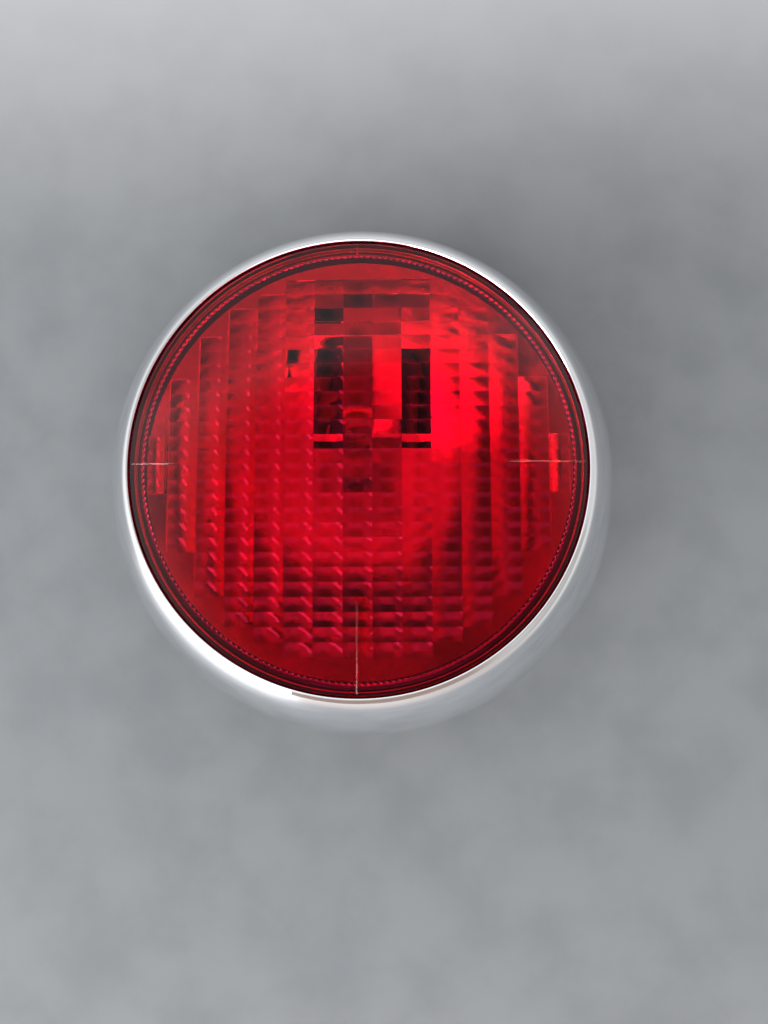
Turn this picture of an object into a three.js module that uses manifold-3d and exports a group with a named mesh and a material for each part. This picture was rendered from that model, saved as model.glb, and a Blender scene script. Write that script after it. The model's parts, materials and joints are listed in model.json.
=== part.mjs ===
// Round motorcycle tail light: a chrome rim and a red lens on a deep drawn housing, with a two-filament
// bayonet bulb that lies parallel to the lens in front of a parabolic reflector.
//
// Millimetres. The lamp lies on its back: z = 0 is the face of its rubber base pad, +Z is the optical axis,
// out through the lens, and +Y is the edge that is uppermost when the lamp is on a motorcycle.
import * as THREE from 'three';
import { mergeVertices } from 'three/addons/utils/BufferGeometryUtils.js';
import Module from 'manifold-3d';

const wasm = await Module();
wasm.setup();

// ---------------------------------------------------------------------------------- driving dimensions

// Gaps and facet counts.
const FIT = 0.3; // between two pieces that bear on each other
const LARGE_ROUND = 48; // facets round the lamp
const SMALL_ROUND = 20; // facets round the bulb, its socket and the grommet
const BORE_ROUND = 12; // facets round a screw, a rivet or a hole
const WIRE_SIDES = 6;

// Rim: one drawn sheet, curving from its opening round the lens to the rear edge of its skirt.
const LIP_Z = 52;
const LIP_R = 48.5;
const RIM_DEPTH = 25;
const RIM_R = 60.4;
const RIM_SHEET = 0.9;
const LIP_SLOPE = THREE.MathUtils.degToRad(31); // below the horizontal, at the opening
const LIP_HANDLE = 6.3;
const SKIRT_SLOPE = THREE.MathUtils.degToRad(77); // below the horizontal, at the rear edge
const SKIRT_HANDLE = 8.5;
const HEM_WIDTH = 0.3; // how far the rear edge turns in past the sheet
const HEM_HEIGHT = 1;

// Lens: a shallow dome with a flange under the rim's lip.
const LENS_SET_BACK = 0.5;
const LENS_DOME = 2.2;
const DOME_STEPS = 4;
const LENS_THICKNESS = 2.8;
const LENS_FACE_R = LIP_R - FIT;
const LENS_FLANGE_R = 50.3;
const LENS_INNER_R = 47.6;
const LENS_FLANGE_DROP = 2.9; // flange's front face, below the lip
const LENS_FLANGE_THICKNESS = 2.2;

// Stack under the lens flange: gasket, reflector flange, housing seat.
const SEAT_R = 50.3;
const SEAT_INNER_R = 48.6;
const GASKET_INNER_R = 47.5;
const GASKET_THICKNESS = 4.7;
const REFLECTOR_SHEET = 0.8;

// Openings in the reflector: half width along X, and the ends along Y.
const BULB_OPENING = { half: 16, ends: [10, 31] };
const BRACKET_NOTCH = { half: 11.6, ends: [30, 34] };
const SHELL_NOTCH = { half: 9.3, ends: [33, 38.8] };

// Housing.
const SHEET = 1.2;
const PAD_THICKNESS = 4;
const WALL_LEAN = THREE.MathUtils.degToRad(11);
const CORNER_R = 6;
const CABLE_HOLE_R = 7;
const DRAIN_R = 1.6;
const DRAIN_Z = 35;

// Mounting to the motorcycle: two tapped nuts welded to the housing's floor.
const BOLT_SPACING = 48;
const BOLT_HOLE_R = 3.4;
const NUT_BORE_R = 2.5;
const NUT_CORNER_R = 5.77;
const NUT_HEIGHT = 5;
const PAD_R = 39.5;
const PAD_HOLE_R = 9.8;
const GROMMET = { boreR: 3.6, flangeR: 9.2, rearZ: 1, lip: 1.6 };

// Rim fixing: a ring round the housing, and screws from behind into lugs inside the rim.
const RIM_SCREWS = 3;
const SCREW_CIRCLE_R = 54.3;
const CARRIER_Z = 28.2;
const CARRIER_R = 58.4;
const CARRIER_COLLAR = 3.6;
const SCREW_R = 2;
const SCREW_HOLE_R = 2.35;
const SCREW_HEAD_R = 3.4;
const SCREW_HEAD_HEIGHT = 2.3;
const SCREW_LENGTH = 7;
const SCREW_SLOT = { width: 1, depth: 1.1 };
const SCREW_CHAMFER = 0.5;
const SCREW_POINT = 0.7;
const LUG_WIDTH = 10;
const LUG_SHEET = 1.6;
const LUG_BOSS_HEIGHT = 2;
const LUG_BOSS_R = 3.1;
const LUG_INNER_R = 51.3;
const LUG_WELD_GAP = 0.6;

// Bulb, with its filaments at the reflector's focus. Lengths along it are from the globe's centre.
const BULB_AXIS_Z = 27;
const BULB_SHIFT_Y = -3; // of the globe's centre, away from the socket
const REFLECTOR_VERTEX_Z = 9.5;
const GLOBE_R = 12.5;
const NECK_R = 6.7;
const GLASS = 0.7;
const NECK_END = 18;
const BASE_START = 15.8;
const BASE_END = 33;
const BASE_R = 7.5;
const PIN_R = 1;
const PIN_REACH = 8.8;
const PIN_PLACES = [26, 23]; // the two bayonet pins are staggered along the base
const CONTACT_OFFSET = 3.4; // of the tail and brake contacts from the bulb's axis
const BULB_TURN = 20; // degrees from locked to free
const STEM_PROFILE = [
  [0, 8.6],
  [1.5, 8.9],
  [1.9, 11],
  [2.2, 14],
  [4.8, NECK_END - 1],
  [0, NECK_END - 1],
];
const STEM_PINCH = 0.9; // flattened to this along the optical axis
const FILAMENT = { z: 2.6, coilR: 0.75, wireR: 0.16, legTop: 10.5, legBend: 7, legEnd: 3 };

// Socket.
const BORE_R = 7.75;
const SHELL_R = 8.6;
const SHELL_START_Y = 13.5;
const SHELL_END_Y = 38.2;
const COLLAR_R = 10.8;
const COLLAR_Y = 30.4;
const DISC_Y = 31.9;
const DISC_THICKNESS = 1.2;
const CONTACT_TRAVEL = 1.5;
const CONTACT_RIVET = { r: 1.1, headR: 1.9, holeR: 1.4 };
const SPRING = { r: 5.7, turns: 3, wireR: 0.45 };
const CAP_Y = 37;
const SLOT_WIDTH = 3;

// Bracket that holds the socket.
const BRACKET_WIDTH = 22;
const BRACKET_TOP_Z = 37.8;
const BRACKET_FOOT_Y = 14;
const RIVET_SPACING = 12;
const RIVET_Y = 20.5;
const RIVET_R = 1.5;
const RIVET_HOLE_R = 1.8;
const RIVET_HEAD = { r: 2.8, crownR: 1.2, height: 1.4 };

// Terminals and wiring.
const BLOCK = { x: 26, y: 11.6, z: 7.6 };
const BLOCK_NEAR_Y = -19.4;
const TERMINAL_PITCH = 8;
const TERMINAL_Z = 9.8;
const TERMINAL_WELL = { r: 2.9, depth: 2.8, boreR: 1.5 };
const TERMINAL_SCREW = { r: 1.2, headR: 2.5, length: 2.6, headHeight: 1.6, slot: 0.8 };
const LEAD_R = 1.1;

// Number-plate window in the housing's lower side.
const WINDOW = { width: 28, low: 13, high: 24 };
const WINDOW_RIM = 3;
const WINDOW_SEAL = 1;
const WINDOW_THICKNESS = 2;

// --------------------------------------------------------------------------------- worked-out positions

const LENS_EDGE_Z = LIP_Z - LENS_SET_BACK;
const LENS_CROWN_Z = LENS_EDGE_Z + LENS_DOME;
const LENS_FLANGE_TOP_Z = LIP_Z - LENS_FLANGE_DROP;
const LENS_FLANGE_Z = LENS_FLANGE_TOP_Z - LENS_FLANGE_THICKNESS;
const GASKET_TOP_Z = LENS_FLANGE_Z - FIT;
const GASKET_Z = GASKET_TOP_Z - GASKET_THICKNESS;
const REFLECTOR_TOP_Z = GASKET_Z - FIT;
const REFLECTOR_FLANGE_Z = REFLECTOR_TOP_Z - REFLECTOR_SHEET;
const SEAT_Z = REFLECTOR_FLANGE_Z - FIT;
const FOCAL_LENGTH = BULB_AXIS_Z - REFLECTOR_VERTEX_Z;
const HOUSING_Z = PAD_THICKNESS + FIT;
const FLOOR_Z = HOUSING_Z + SHEET;
const ON_FLOOR_Z = FLOOR_Z + FIT;
const CARRIER_TOP_Z = CARRIER_Z + SHEET;
const LUG_Z = CARRIER_TOP_Z + FIT;
const RIM_REAR_Z = LIP_Z - RIM_DEPTH;
const ARM_Y = COLLAR_Y + SHEET + FIT;

// Radius of the housing wall's outside at a height.
const wallR = (z) => SEAT_R - (SEAT_Z - z) * Math.tan(WALL_LEAN);
// Radial width that a thickness takes up in the leaning wall.
const across = (thickness) => thickness / Math.cos(WALL_LEAN);
// Radius at which the housing's floor starts to turn up into its wall.
const BASE_CORNER_R = wallR(HOUSING_Z + CORNER_R) - across(CORNER_R);

// ---------------------------------------------------------------------------------------- small helpers

// A closed (r, z) outline spun round the Z axis, or with axis 'y', an (r, y) outline round the Y axis.
// An outline that touches the axis starts and ends on it.
function spin(outline, facets = LARGE_ROUND, axis = 'z') {
  const points = outline.map(([r, along]) => new THREE.Vector2(r, along));
  const onAxis = points[0].x === 0 && points.at(-1).x === 0;
  if (THREE.ShapeUtils.area(points) < 0) points.reverse();
  if (!onAxis) points.push(points[0].clone());
  const geometry = new THREE.LatheGeometry(points, facets);
  return axis === 'z' ? geometry.rotateX(Math.PI / 2) : geometry;
}

// Points [x, y] along a three.js path or curve.
const along = (path, steps) => path.getPoints(steps).map((p) => [p.x, p.y]);

// A circular arc's points in the outline's plane, from one angle to the other.
function arc(x, y, radius, from, to, steps) {
  return along(new THREE.EllipseCurve(x, y, radius, radius, from, to, to < from), steps);
}

function box([x0, x1], [y0, y1], [z0, z1]) {
  const geometry = new THREE.BoxGeometry(x1 - x0, y1 - y0, z1 - z0);
  return geometry.translate((x0 + x1) / 2, (y0 + y1) / 2, (z0 + z1) / 2);
}

// A cylinder along Z.
function post(radius, [z0, z1], x = 0, y = 0, facets = BORE_ROUND) {
  const geometry = new THREE.CylinderGeometry(radius, radius, z1 - z0, facets);
  return geometry.rotateX(Math.PI / 2).translate(x, y, (z0 + z1) / 2);
}

// A cylinder along Y.
function axle(radius, [y0, y1], x = 0, z = 0, facets = BORE_ROUND) {
  const geometry = new THREE.CylinderGeometry(radius, radius, y1 - y0, facets);
  return geometry.translate(x, (y0 + y1) / 2, z);
}

// A round wire along a curve.
function wire(curve, radius, steps, sides = WIRE_SIDES) {
  const ring = Array.from({ length: sides }, (_, i) => (2 * Math.PI * i) / sides);
  const corners = ring.map((angle) => new THREE.Vector2(radius * Math.cos(angle), radius * Math.sin(angle)));
  const section = new THREE.Shape(corners);
  return new THREE.ExtrudeGeometry(section, { steps, extrudePath: curve, bevelEnabled: false });
}

const curveThrough = (points) => new THREE.CatmullRomCurve3(points.map((p) => new THREE.Vector3(...p)));

function solid(geometry) {
  const bare = geometry.index ? geometry.toNonIndexed() : geometry.clone();
  bare.deleteAttribute('normal');
  bare.deleteAttribute('uv');
  const merged = mergeVertices(bare, 1e-4);
  const mesh = new wasm.Mesh({
    numProp: 3,
    vertProperties: merged.attributes.position.array,
    triVerts: new Uint32Array(merged.index.array),
  });
  return new wasm.Manifold(mesh);
}

function geometryOf(body) {
  const mesh = body.getMesh();
  const geometry = new THREE.BufferGeometry();
  geometry.setAttribute('position', new THREE.BufferAttribute(new Float32Array(mesh.vertProperties), 3));
  geometry.setIndex(new THREE.BufferAttribute(new Uint32Array(mesh.triVerts), 1));
  return geometry;
}

function cut(base, ...tools) {
  return geometryOf(tools.reduce((left, tool) => left.subtract(solid(tool)), solid(base)));
}

function join(base, ...parts) {
  return geometryOf(parts.reduce((sum, part) => sum.add(solid(part)), solid(base)));
}

function common(a, b) {
  return geometryOf(solid(a).intersect(solid(b)));
}

// A mesh with its own material, from a finish given as [colour, roughness, metalness].
function piece(name, geometry, [color, roughness, metalness]) {
  if (!geometry.getAttribute('normal')) geometry.computeVertexNormals();
  const mesh = new THREE.Mesh(geometry, new THREE.MeshStandardMaterial({ color, roughness, metalness }));
  mesh.name = name;
  return mesh;
}

function groupOf(...children) {
  return new THREE.Group().add(...children);
}

// --------------------------------------------------------------------------------------------- finishes

const CHROME = [0xd8dade, 0.08, 1];
const BRIGHT_ZINC = [0xb9bcc0, 0.3, 1];
const BRIGHTENED_STEEL = [0xe2e4e6, 0.12, 1];
const BLACK_PAINT = [0x15161a, 0.4, 0.1];
const RED_LENS = [0xb8061c, 0.05, 0];
const CLEAR_PLASTIC = [0xe8eef0, 0.05, 0];
const BLACK_RUBBER = [0x17171a, 0.85, 0];
const NICKEL = [0xc9c5bb, 0.25, 1];
const BRASS = [0xc8a04a, 0.3, 1];
const PHENOLIC = [0x5a3420, 0.6, 0];
const BLACK_GLASS = [0x101014, 0.15, 0];
const CLEAR_GLASS = [0xdfe8e8, 0.03, 0];
const TUNGSTEN = [0x6d6e72, 0.4, 1];
const SPRING_STEEL = [0x8f9298, 0.3, 1];
const RED_SLEEVE = [0xa02018, 0.5, 0];
const GREY_SLEEVE = [0x6f7378, 0.5, 0];
const BROWN_SLEEVE = [0x4a2c1a, 0.5, 0];

// -------------------------------------------------------------------------------------------------- rim

// A unit vector that falls away outwards (side 1) or rises inwards (side -1) at an angle to the horizontal.
const slopeVector = (angle, side) => new THREE.Vector2(side * Math.cos(angle), -side * Math.sin(angle));
const lipPoint = new THREE.Vector2(LIP_R, LIP_Z);
const rearPoint = new THREE.Vector2(RIM_R, RIM_REAR_Z);
const lipHandle = slopeVector(LIP_SLOPE, 1).multiplyScalar(LIP_HANDLE);
const skirtHandle = slopeVector(SKIRT_SLOPE, -1).multiplyScalar(SKIRT_HANDLE);
const rimCurve = new THREE.CubicBezierCurve(
  lipPoint,
  lipPoint.clone().add(lipHandle),
  rearPoint.clone().add(skirtHandle),
  rearPoint,
);
const RIM_STEPS = 8;

// The rim's section at equal steps along its curve: the outside, or the inside one sheet thickness in.
function rimSide(inset) {
  return Array.from({ length: RIM_STEPS + 1 }, (_, i) => {
    const point = rimCurve.getPoint(i / RIM_STEPS);
    const tangent = rimCurve.getTangent(i / RIM_STEPS);
    return [point.x + inset * tangent.y, point.y - inset * tangent.x];
  });
}

const rimInside = rimSide(RIM_SHEET);

// Radius of the rim's inside at a height, along its straight facets.
function rimInnerR(z) {
  const i = rimInside.findIndex(([, height]) => height <= z);
  const [[r0, z0], [r1, z1]] = [rimInside[i - 1], rimInside[i]];
  return r0 + ((r1 - r0) * (z0 - z)) / (z0 - z1);
}

function makeRim() {
  const outside = rimSide(0);
  const hem = [
    [RIM_R, RIM_REAR_Z - HEM_HEIGHT],
    [rimInside.at(-1)[0] - HEM_WIDTH, RIM_REAR_Z - HEM_HEIGHT],
    [rimInside.at(-1)[0] - HEM_WIDTH, rimInside.at(-1)[1]],
  ];
  const lip = [[LIP_R, LIP_Z - RIM_SHEET]];
  const inside = rimInside.filter(([r]) => r > LIP_R).reverse();
  return piece('bezel_rim', spin([...outside, ...hem, ...inside, ...lip]), CHROME);
}

// A lug welded inside the rim's skirt: a foot with a tapped boss for its screw.
function makeLug(name) {
  const footTop = LUG_Z + LUG_SHEET;
  const bossTop = footTop + LUG_BOSS_HEIGHT;
  const half = LUG_WIDTH / 2;
  const foot = box([LUG_INNER_R, rimInnerR(footTop) - LUG_WELD_GAP], [-half, half], [LUG_Z, footTop]);
  const boss = post(LUG_BOSS_R, [LUG_Z, bossTop], SCREW_CIRCLE_R);
  const bore = post(SCREW_HOLE_R, [LUG_Z - 1, bossTop + 1], SCREW_CIRCLE_R);
  return piece(name, cut(join(foot, boss), bore), BRIGHT_ZINC);
}

// A slotted cheese-head screw, driven from behind the lamp.
function makeRimScrew(name) {
  const headTop = CARRIER_Z - FIT;
  const headZ = headTop - SCREW_HEAD_HEIGHT;
  const blank = spin(
    [
      [0, headZ],
      [SCREW_HEAD_R - SCREW_CHAMFER, headZ],
      [SCREW_HEAD_R, headZ + SCREW_CHAMFER],
      [SCREW_HEAD_R, headTop],
      [SCREW_R, headTop],
      [SCREW_R, headTop + SCREW_LENGTH - SCREW_POINT],
      [SCREW_R - SCREW_POINT, headTop + SCREW_LENGTH],
      [0, headTop + SCREW_LENGTH],
    ],
    BORE_ROUND,
  );
  const reach = SCREW_HEAD_R + 1;
  const halfSlot = SCREW_SLOT.width / 2;
  const slot = box([-reach, reach], [-halfSlot, halfSlot], [headZ - 1, headZ + SCREW_SLOT.depth]);
  return piece(name, cut(blank, slot), BRIGHT_ZINC);
}

// A group turned to each rim screw's place round the lamp; the first is at the top, on +Y.
function roundTheRim(make) {
  return Array.from({ length: RIM_SCREWS }, (_, i) => {
    const station = groupOf(make(i + 1));
    station.rotation.z = Math.PI / 2 + (2 * Math.PI * i) / RIM_SCREWS;
    return station;
  });
}

function screwStation(number) {
  const screw = makeRimScrew('rim_screw_' + number);
  screw.position.x = SCREW_CIRCLE_R;
  return screw;
}

// ------------------------------------------------------------------------------------------------- lens

function makeLens() {
  const sphereR = (LENS_FACE_R ** 2 + LENS_DOME ** 2) / (2 * LENS_DOME);
  const centreZ = LENS_CROWN_Z - sphereR;
  const edgeAngle = Math.acos(LENS_FACE_R / sphereR);
  const insideR = sphereR - LENS_THICKNESS;
  const insideAngle = Math.acos(LENS_INNER_R / insideR);
  const face = arc(0, centreZ, sphereR, Math.PI / 2, edgeAngle, DOME_STEPS);
  const inside = arc(0, centreZ, insideR, insideAngle, Math.PI / 2, DOME_STEPS);
  face[0][0] = 0;
  inside.at(-1)[0] = 0;
  const flange = [
    [LENS_FACE_R, LENS_FLANGE_TOP_Z],
    [LENS_FLANGE_R, LENS_FLANGE_TOP_Z],
    [LENS_FLANGE_R, LENS_FLANGE_Z],
    [LENS_INNER_R, LENS_FLANGE_Z],
  ];
  return piece('lens', spin([...face, ...flange, ...inside]), RED_LENS);
}

function makeLensGasket() {
  const outline = [
    [GASKET_INNER_R, GASKET_Z],
    [SEAT_R, GASKET_Z],
    [SEAT_R, GASKET_TOP_Z],
    [GASKET_INNER_R, GASKET_TOP_Z],
  ];
  return piece('lens_gasket', spin(outline), BLACK_RUBBER);
}

// -------------------------------------------------------------------------------------------- reflector

// A parabola of revolution with a flange clamped under the gasket, open round the socket. The widest opening
// also lets light into the case for the number-plate window.
function makeReflector() {
  const height = (r) => REFLECTOR_VERTEX_Z + r ** 2 / (4 * FOCAL_LENGTH);
  const radius = (z) => Math.sqrt(4 * FOCAL_LENGTH * (z - REFLECTOR_VERTEX_Z));
  const behind = (r) => {
    const slope = r / (2 * FOCAL_LENGTH);
    const normal = REFLECTOR_SHEET / Math.hypot(1, slope);
    return [r + slope * normal, height(r) - normal];
  };
  const steps = 8;
  const frontR = radius(REFLECTOR_TOP_Z);
  const backR = radius(REFLECTOR_FLANGE_Z);
  const radii = (edge) => Array.from({ length: steps + 1 }, (_, i) => (edge * i) / steps);
  const front = radii(frontR).map((r) => [r, height(r)]);
  const back = radii(backR).map(behind).reverse();
  const flange = [
    [SEAT_R, REFLECTOR_TOP_Z],
    [SEAT_R, REFLECTOR_FLANGE_Z],
    [frontR + REFLECTOR_SHEET, REFLECTOR_FLANGE_Z],
  ];
  const bowl = spin([...front, ...flange, ...back]);
  const openings = [BULB_OPENING, BRACKET_NOTCH, SHELL_NOTCH];
  const tools = openings.map(({ half, ends }) => box([-half, half], ends, [0, LIP_Z]));
  return piece('reflector', cut(bowl, ...tools), BRIGHTENED_STEEL);
}

// ---------------------------------------------------------------------------------------------- housing

// The housing's outside, or with an inset its inside, from the floor up the wall.
function shellSide(inset) {
  const centreZ = HOUSING_Z + CORNER_R;
  const centreR = wallR(centreZ) - across(CORNER_R);
  return arc(centreR, centreZ, CORNER_R - inset, -Math.PI / 2, -WALL_LEAN, 3);
}

function makeHousing() {
  const underSeatZ = SEAT_Z - SHEET;
  const outline = [
    [CABLE_HOLE_R, HOUSING_Z],
    ...shellSide(0),
    [SEAT_R, SEAT_Z],
    [SEAT_INNER_R, SEAT_Z],
    [SEAT_INNER_R, underSeatZ],
    [wallR(underSeatZ) - across(SHEET), underSeatZ],
    ...shellSide(SHEET).reverse(),
    [CABLE_HOLE_R, FLOOR_Z],
  ];
  const floorSpan = [HOUSING_Z - 1, FLOOR_Z + 1];
  const boltHoles = [-1, 1].map((side) => post(BOLT_HOLE_R, floorSpan, (side * BOLT_SPACING) / 2));
  const rivetHoles = [-1, 1].map((side) => post(RIVET_HOLE_R, floorSpan, (side * RIVET_SPACING) / 2, RIVET_Y));
  const lowerWall = [-RIM_R, -BASE_CORNER_R];
  const windowHole = box([-WINDOW.width / 2, WINDOW.width / 2], lowerWall, [WINDOW.low, WINDOW.high]);
  const drain = axle(DRAIN_R, lowerWall, 0, DRAIN_Z);
  return piece('housing', cut(spin(outline), ...boltHoles, ...rivetHoles, windowHole, drain), BLACK_PAINT);
}

// The ring welded round the housing: the rim's skirt closes over it, and the rim screws pass through it.
function makeCarrierRing() {
  const collarZ = CARRIER_TOP_Z + CARRIER_COLLAR;
  const innerR = wallR(collarZ) + FIT;
  const outline = [
    [innerR, CARRIER_Z],
    [CARRIER_R, CARRIER_Z],
    [CARRIER_R, CARRIER_TOP_Z],
    [innerR + SHEET, CARRIER_TOP_Z],
    [innerR + SHEET, collarZ],
    [innerR, collarZ],
  ];
  const span = [CARRIER_Z - 1, CARRIER_TOP_Z + 1];
  const holes = Array.from({ length: RIM_SCREWS }, (_, i) => {
    const angle = Math.PI / 2 + (2 * Math.PI * i) / RIM_SCREWS;
    return post(SCREW_HOLE_R, span, SCREW_CIRCLE_R * Math.cos(angle), SCREW_CIRCLE_R * Math.sin(angle));
  });
  return piece('carrier_ring', cut(spin(outline), ...holes), BLACK_PAINT);
}

function makeBasePad() {
  const bevel = 0.6;
  const outline = [
    [PAD_HOLE_R, 0],
    [PAD_R - bevel, 0],
    [PAD_R, bevel],
    [PAD_R, PAD_THICKNESS],
    [PAD_HOLE_R, PAD_THICKNESS],
  ];
  const span = [-1, PAD_THICKNESS + 1];
  const boltHoles = [-1, 1].map((side) => post(BOLT_HOLE_R + 0.2, span, (side * BOLT_SPACING) / 2));
  return piece('base_pad', cut(spin(outline), ...boltHoles), BLACK_RUBBER);
}

// A grommet with a groove that grips the edge of the cable hole.
function makeGrommet() {
  const { boreR, flangeR, rearZ, lip } = GROMMET;
  const grooveR = CABLE_HOLE_R - FIT;
  const outline = [
    [boreR, rearZ],
    [flangeR - 2, rearZ],
    [flangeR, HOUSING_Z - FIT - 0.8],
    [flangeR, HOUSING_Z - FIT],
    [grooveR, HOUSING_Z - FIT],
    [grooveR, ON_FLOOR_Z],
    [flangeR, ON_FLOOR_Z],
    [flangeR - 1.2, ON_FLOOR_Z + lip],
    [boreR, ON_FLOOR_Z + lip],
  ];
  return piece('cable_grommet', spin(outline, SMALL_ROUND), BLACK_RUBBER);
}

function makeMountNut(name, side) {
  const x = (side * BOLT_SPACING) / 2;
  const blank = post(NUT_CORNER_R, [ON_FLOOR_Z, ON_FLOOR_Z + NUT_HEIGHT], x, 0, 6);
  const bore = post(NUT_BORE_R, [ON_FLOOR_Z - 1, ON_FLOOR_Z + NUT_HEIGHT + 1], x);
  return piece(name, cut(blank, bore), BRIGHT_ZINC);
}

// --------------------------------------------------------------------------------- number-plate window

// A stretch of ring that follows the housing's wall between two depths inside its outer face.
function wallRing(outerDepth, innerDepth, [z0, z1]) {
  return spin([
    [wallR(z0) - across(innerDepth), z0],
    [wallR(z0) - across(outerDepth), z0],
    [wallR(z1) - across(outerDepth), z1],
    [wallR(z1) - across(innerDepth), z1],
  ]);
}

// The part of a wall ring inside the window's outline, grown by a margin on every side.
function windowPatch(outerDepth, innerDepth, margin) {
  const span = [WINDOW.low - margin, WINDOW.high + margin];
  const half = WINDOW.width / 2 + margin;
  return common(wallRing(outerDepth, innerDepth, span), box([-half, half], [-RIM_R, -BASE_CORNER_R], span));
}

const SEAL_DEPTH = SHEET + FIT;
const PLATE_DEPTH = SEAL_DEPTH + WINDOW_SEAL + FIT;

function makeWindow() {
  const plate = windowPatch(PLATE_DEPTH, PLATE_DEPTH + WINDOW_THICKNESS, WINDOW_RIM);
  const boss = windowPatch(0, PLATE_DEPTH + WINDOW_THICKNESS / 2, -2 * FIT);
  return piece('plate_window', join(plate, boss), CLEAR_PLASTIC);
}

function makeWindowSeal() {
  const sheet = windowPatch(SEAL_DEPTH, SEAL_DEPTH + WINDOW_SEAL, WINDOW_RIM);
  const half = WINDOW.width / 2;
  const opening = box([-half, half], [-RIM_R, -BASE_CORNER_R], [WINDOW.low, WINDOW.high]);
  return piece('window_seal', cut(sheet, opening), BLACK_RUBBER);
}

// ------------------------------------------------------------------------------------ socket and bracket

// An angle bracket: its foot is riveted to the floor, and its arm holds the socket shell.
function makeBracket() {
  const armFar = ARM_Y + SHEET;
  const footTop = ON_FLOOR_Z + SHEET;
  const profile = new THREE.Shape([
    new THREE.Vector2(BRACKET_FOOT_Y, ON_FLOOR_Z),
    new THREE.Vector2(armFar - 1, ON_FLOOR_Z),
    new THREE.Vector2(armFar, ON_FLOOR_Z + 1),
    new THREE.Vector2(armFar, BRACKET_TOP_Z),
    new THREE.Vector2(ARM_Y, BRACKET_TOP_Z),
    new THREE.Vector2(ARM_Y, footTop),
    new THREE.Vector2(BRACKET_FOOT_Y, footTop),
  ]);
  const blank = new THREE.ExtrudeGeometry(profile, { depth: BRACKET_WIDTH, bevelEnabled: false });
  blank.translate(0, 0, -BRACKET_WIDTH / 2);
  blank.applyMatrix4(new THREE.Matrix4().set(0, 0, 1, 0, 1, 0, 0, 0, 0, 1, 0, 0, 0, 0, 0, 1));
  const socketHole = axle(SHELL_R + FIT, [ARM_Y - 1, armFar + 1], 0, BULB_AXIS_Z, SMALL_ROUND);
  const rivetHoles = [-1, 1].map((side) =>
    post(RIVET_HOLE_R, [ON_FLOOR_Z - 1, footTop + 1], (side * RIVET_SPACING) / 2, RIVET_Y),
  );
  return piece('socket_bracket', cut(blank, socketHole, ...rivetHoles), BRIGHT_ZINC);
}

function makeRivet(name, side) {
  const headZ = ON_FLOOR_Z + SHEET + FIT;
  const outline = [
    [0, HOUSING_Z + 0.1],
    [RIVET_R, HOUSING_Z + 0.1],
    [RIVET_R, headZ],
    [RIVET_HEAD.r, headZ],
    [RIVET_HEAD.r - 0.4, headZ + 0.8],
    [RIVET_HEAD.crownR, headZ + RIVET_HEAD.height - 0.1],
    [0, headZ + RIVET_HEAD.height],
  ];
  const rivet = piece(name, spin(outline, BORE_ROUND), BRIGHT_ZINC);
  rivet.position.set((side * RIVET_SPACING) / 2, RIVET_Y, 0);
  return rivet;
}

// One bayonet slot in the shell: in from the mouth, then round to the pin's locked place at pinAngle.
function bayonetSlot(pinPlace, pinAngle) {
  const pinY = pinPlace + BULB_SHIFT_Y;
  const reach = [SHELL_R - 2, SHELL_R + 1];
  const width = [-SLOT_WIDTH / 2, SLOT_WIDTH / 2];
  const seat = [pinY - SLOT_WIDTH / 2, pinY + CONTACT_TRAVEL + SLOT_WIDTH / 2];
  const turned = (y, degrees) => box(reach, y, width).rotateY(pinAngle + THREE.MathUtils.degToRad(degrees));
  const way = [SHELL_START_Y - 1, seat[1]];
  return [turned(seat, 0), turned(seat, BULB_TURN / 2), turned(way, BULB_TURN)];
}

function makeSocketShell() {
  const outline = [
    [BORE_R, SHELL_START_Y],
    [SHELL_R, SHELL_START_Y],
    [SHELL_R, COLLAR_Y],
    [COLLAR_R, COLLAR_Y],
    [COLLAR_R, COLLAR_Y + SHEET],
    [SHELL_R, COLLAR_Y + SHEET],
    [SHELL_R, SHELL_END_Y],
    [BORE_R, SHELL_END_Y],
  ];
  const slots = PIN_PLACES.flatMap((place, i) => bayonetSlot(place, i * Math.PI));
  return piece('socket_shell', cut(spin(outline, SMALL_ROUND, 'y'), ...slots), BRIGHT_ZINC);
}

// The insulating cap that closes the socket's rear and lets the two leads in.
function makeSocketCap() {
  const disc = axle(BORE_R - FIT, [CAP_Y, SHELL_END_Y], 0, 0, SMALL_ROUND);
  const span = [CAP_Y - 1, SHELL_END_Y + 1];
  const leadHoles = [-1, 1].map((side) => axle(LEAD_R + FIT, span, side * CONTACT_OFFSET));
  return piece('socket_cap', cut(disc, ...leadHoles), PHENOLIC);
}

// The insulating disc that presses the bulb's contacts, on its spring.
function makeContactDisc() {
  const disc = axle(BORE_R - FIT, [DISC_Y, DISC_Y + DISC_THICKNESS], 0, 0, SMALL_ROUND);
  const span = [DISC_Y - 1, DISC_Y + DISC_THICKNESS + 1];
  const holes = [-1, 1].map((side) => axle(CONTACT_RIVET.holeR, span, side * CONTACT_OFFSET));
  return piece('contact_disc', cut(disc, ...holes), PHENOLIC);
}

function makeContactRivet(name, side) {
  const outline = [
    [0, DISC_Y - 0.6],
    [CONTACT_RIVET.headR - 0.4, DISC_Y - 0.6],
    [CONTACT_RIVET.headR, DISC_Y - 0.3],
    [CONTACT_RIVET.headR, DISC_Y - 0.2],
    [CONTACT_RIVET.r, DISC_Y - 0.2],
    [CONTACT_RIVET.r, DISC_Y + DISC_THICKNESS + 0.9],
    [0, DISC_Y + DISC_THICKNESS + 0.9],
  ];
  const rivet = piece(name, spin(outline, BORE_ROUND, 'y'), BRASS);
  rivet.position.x = side * CONTACT_OFFSET;
  return rivet;
}

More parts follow.
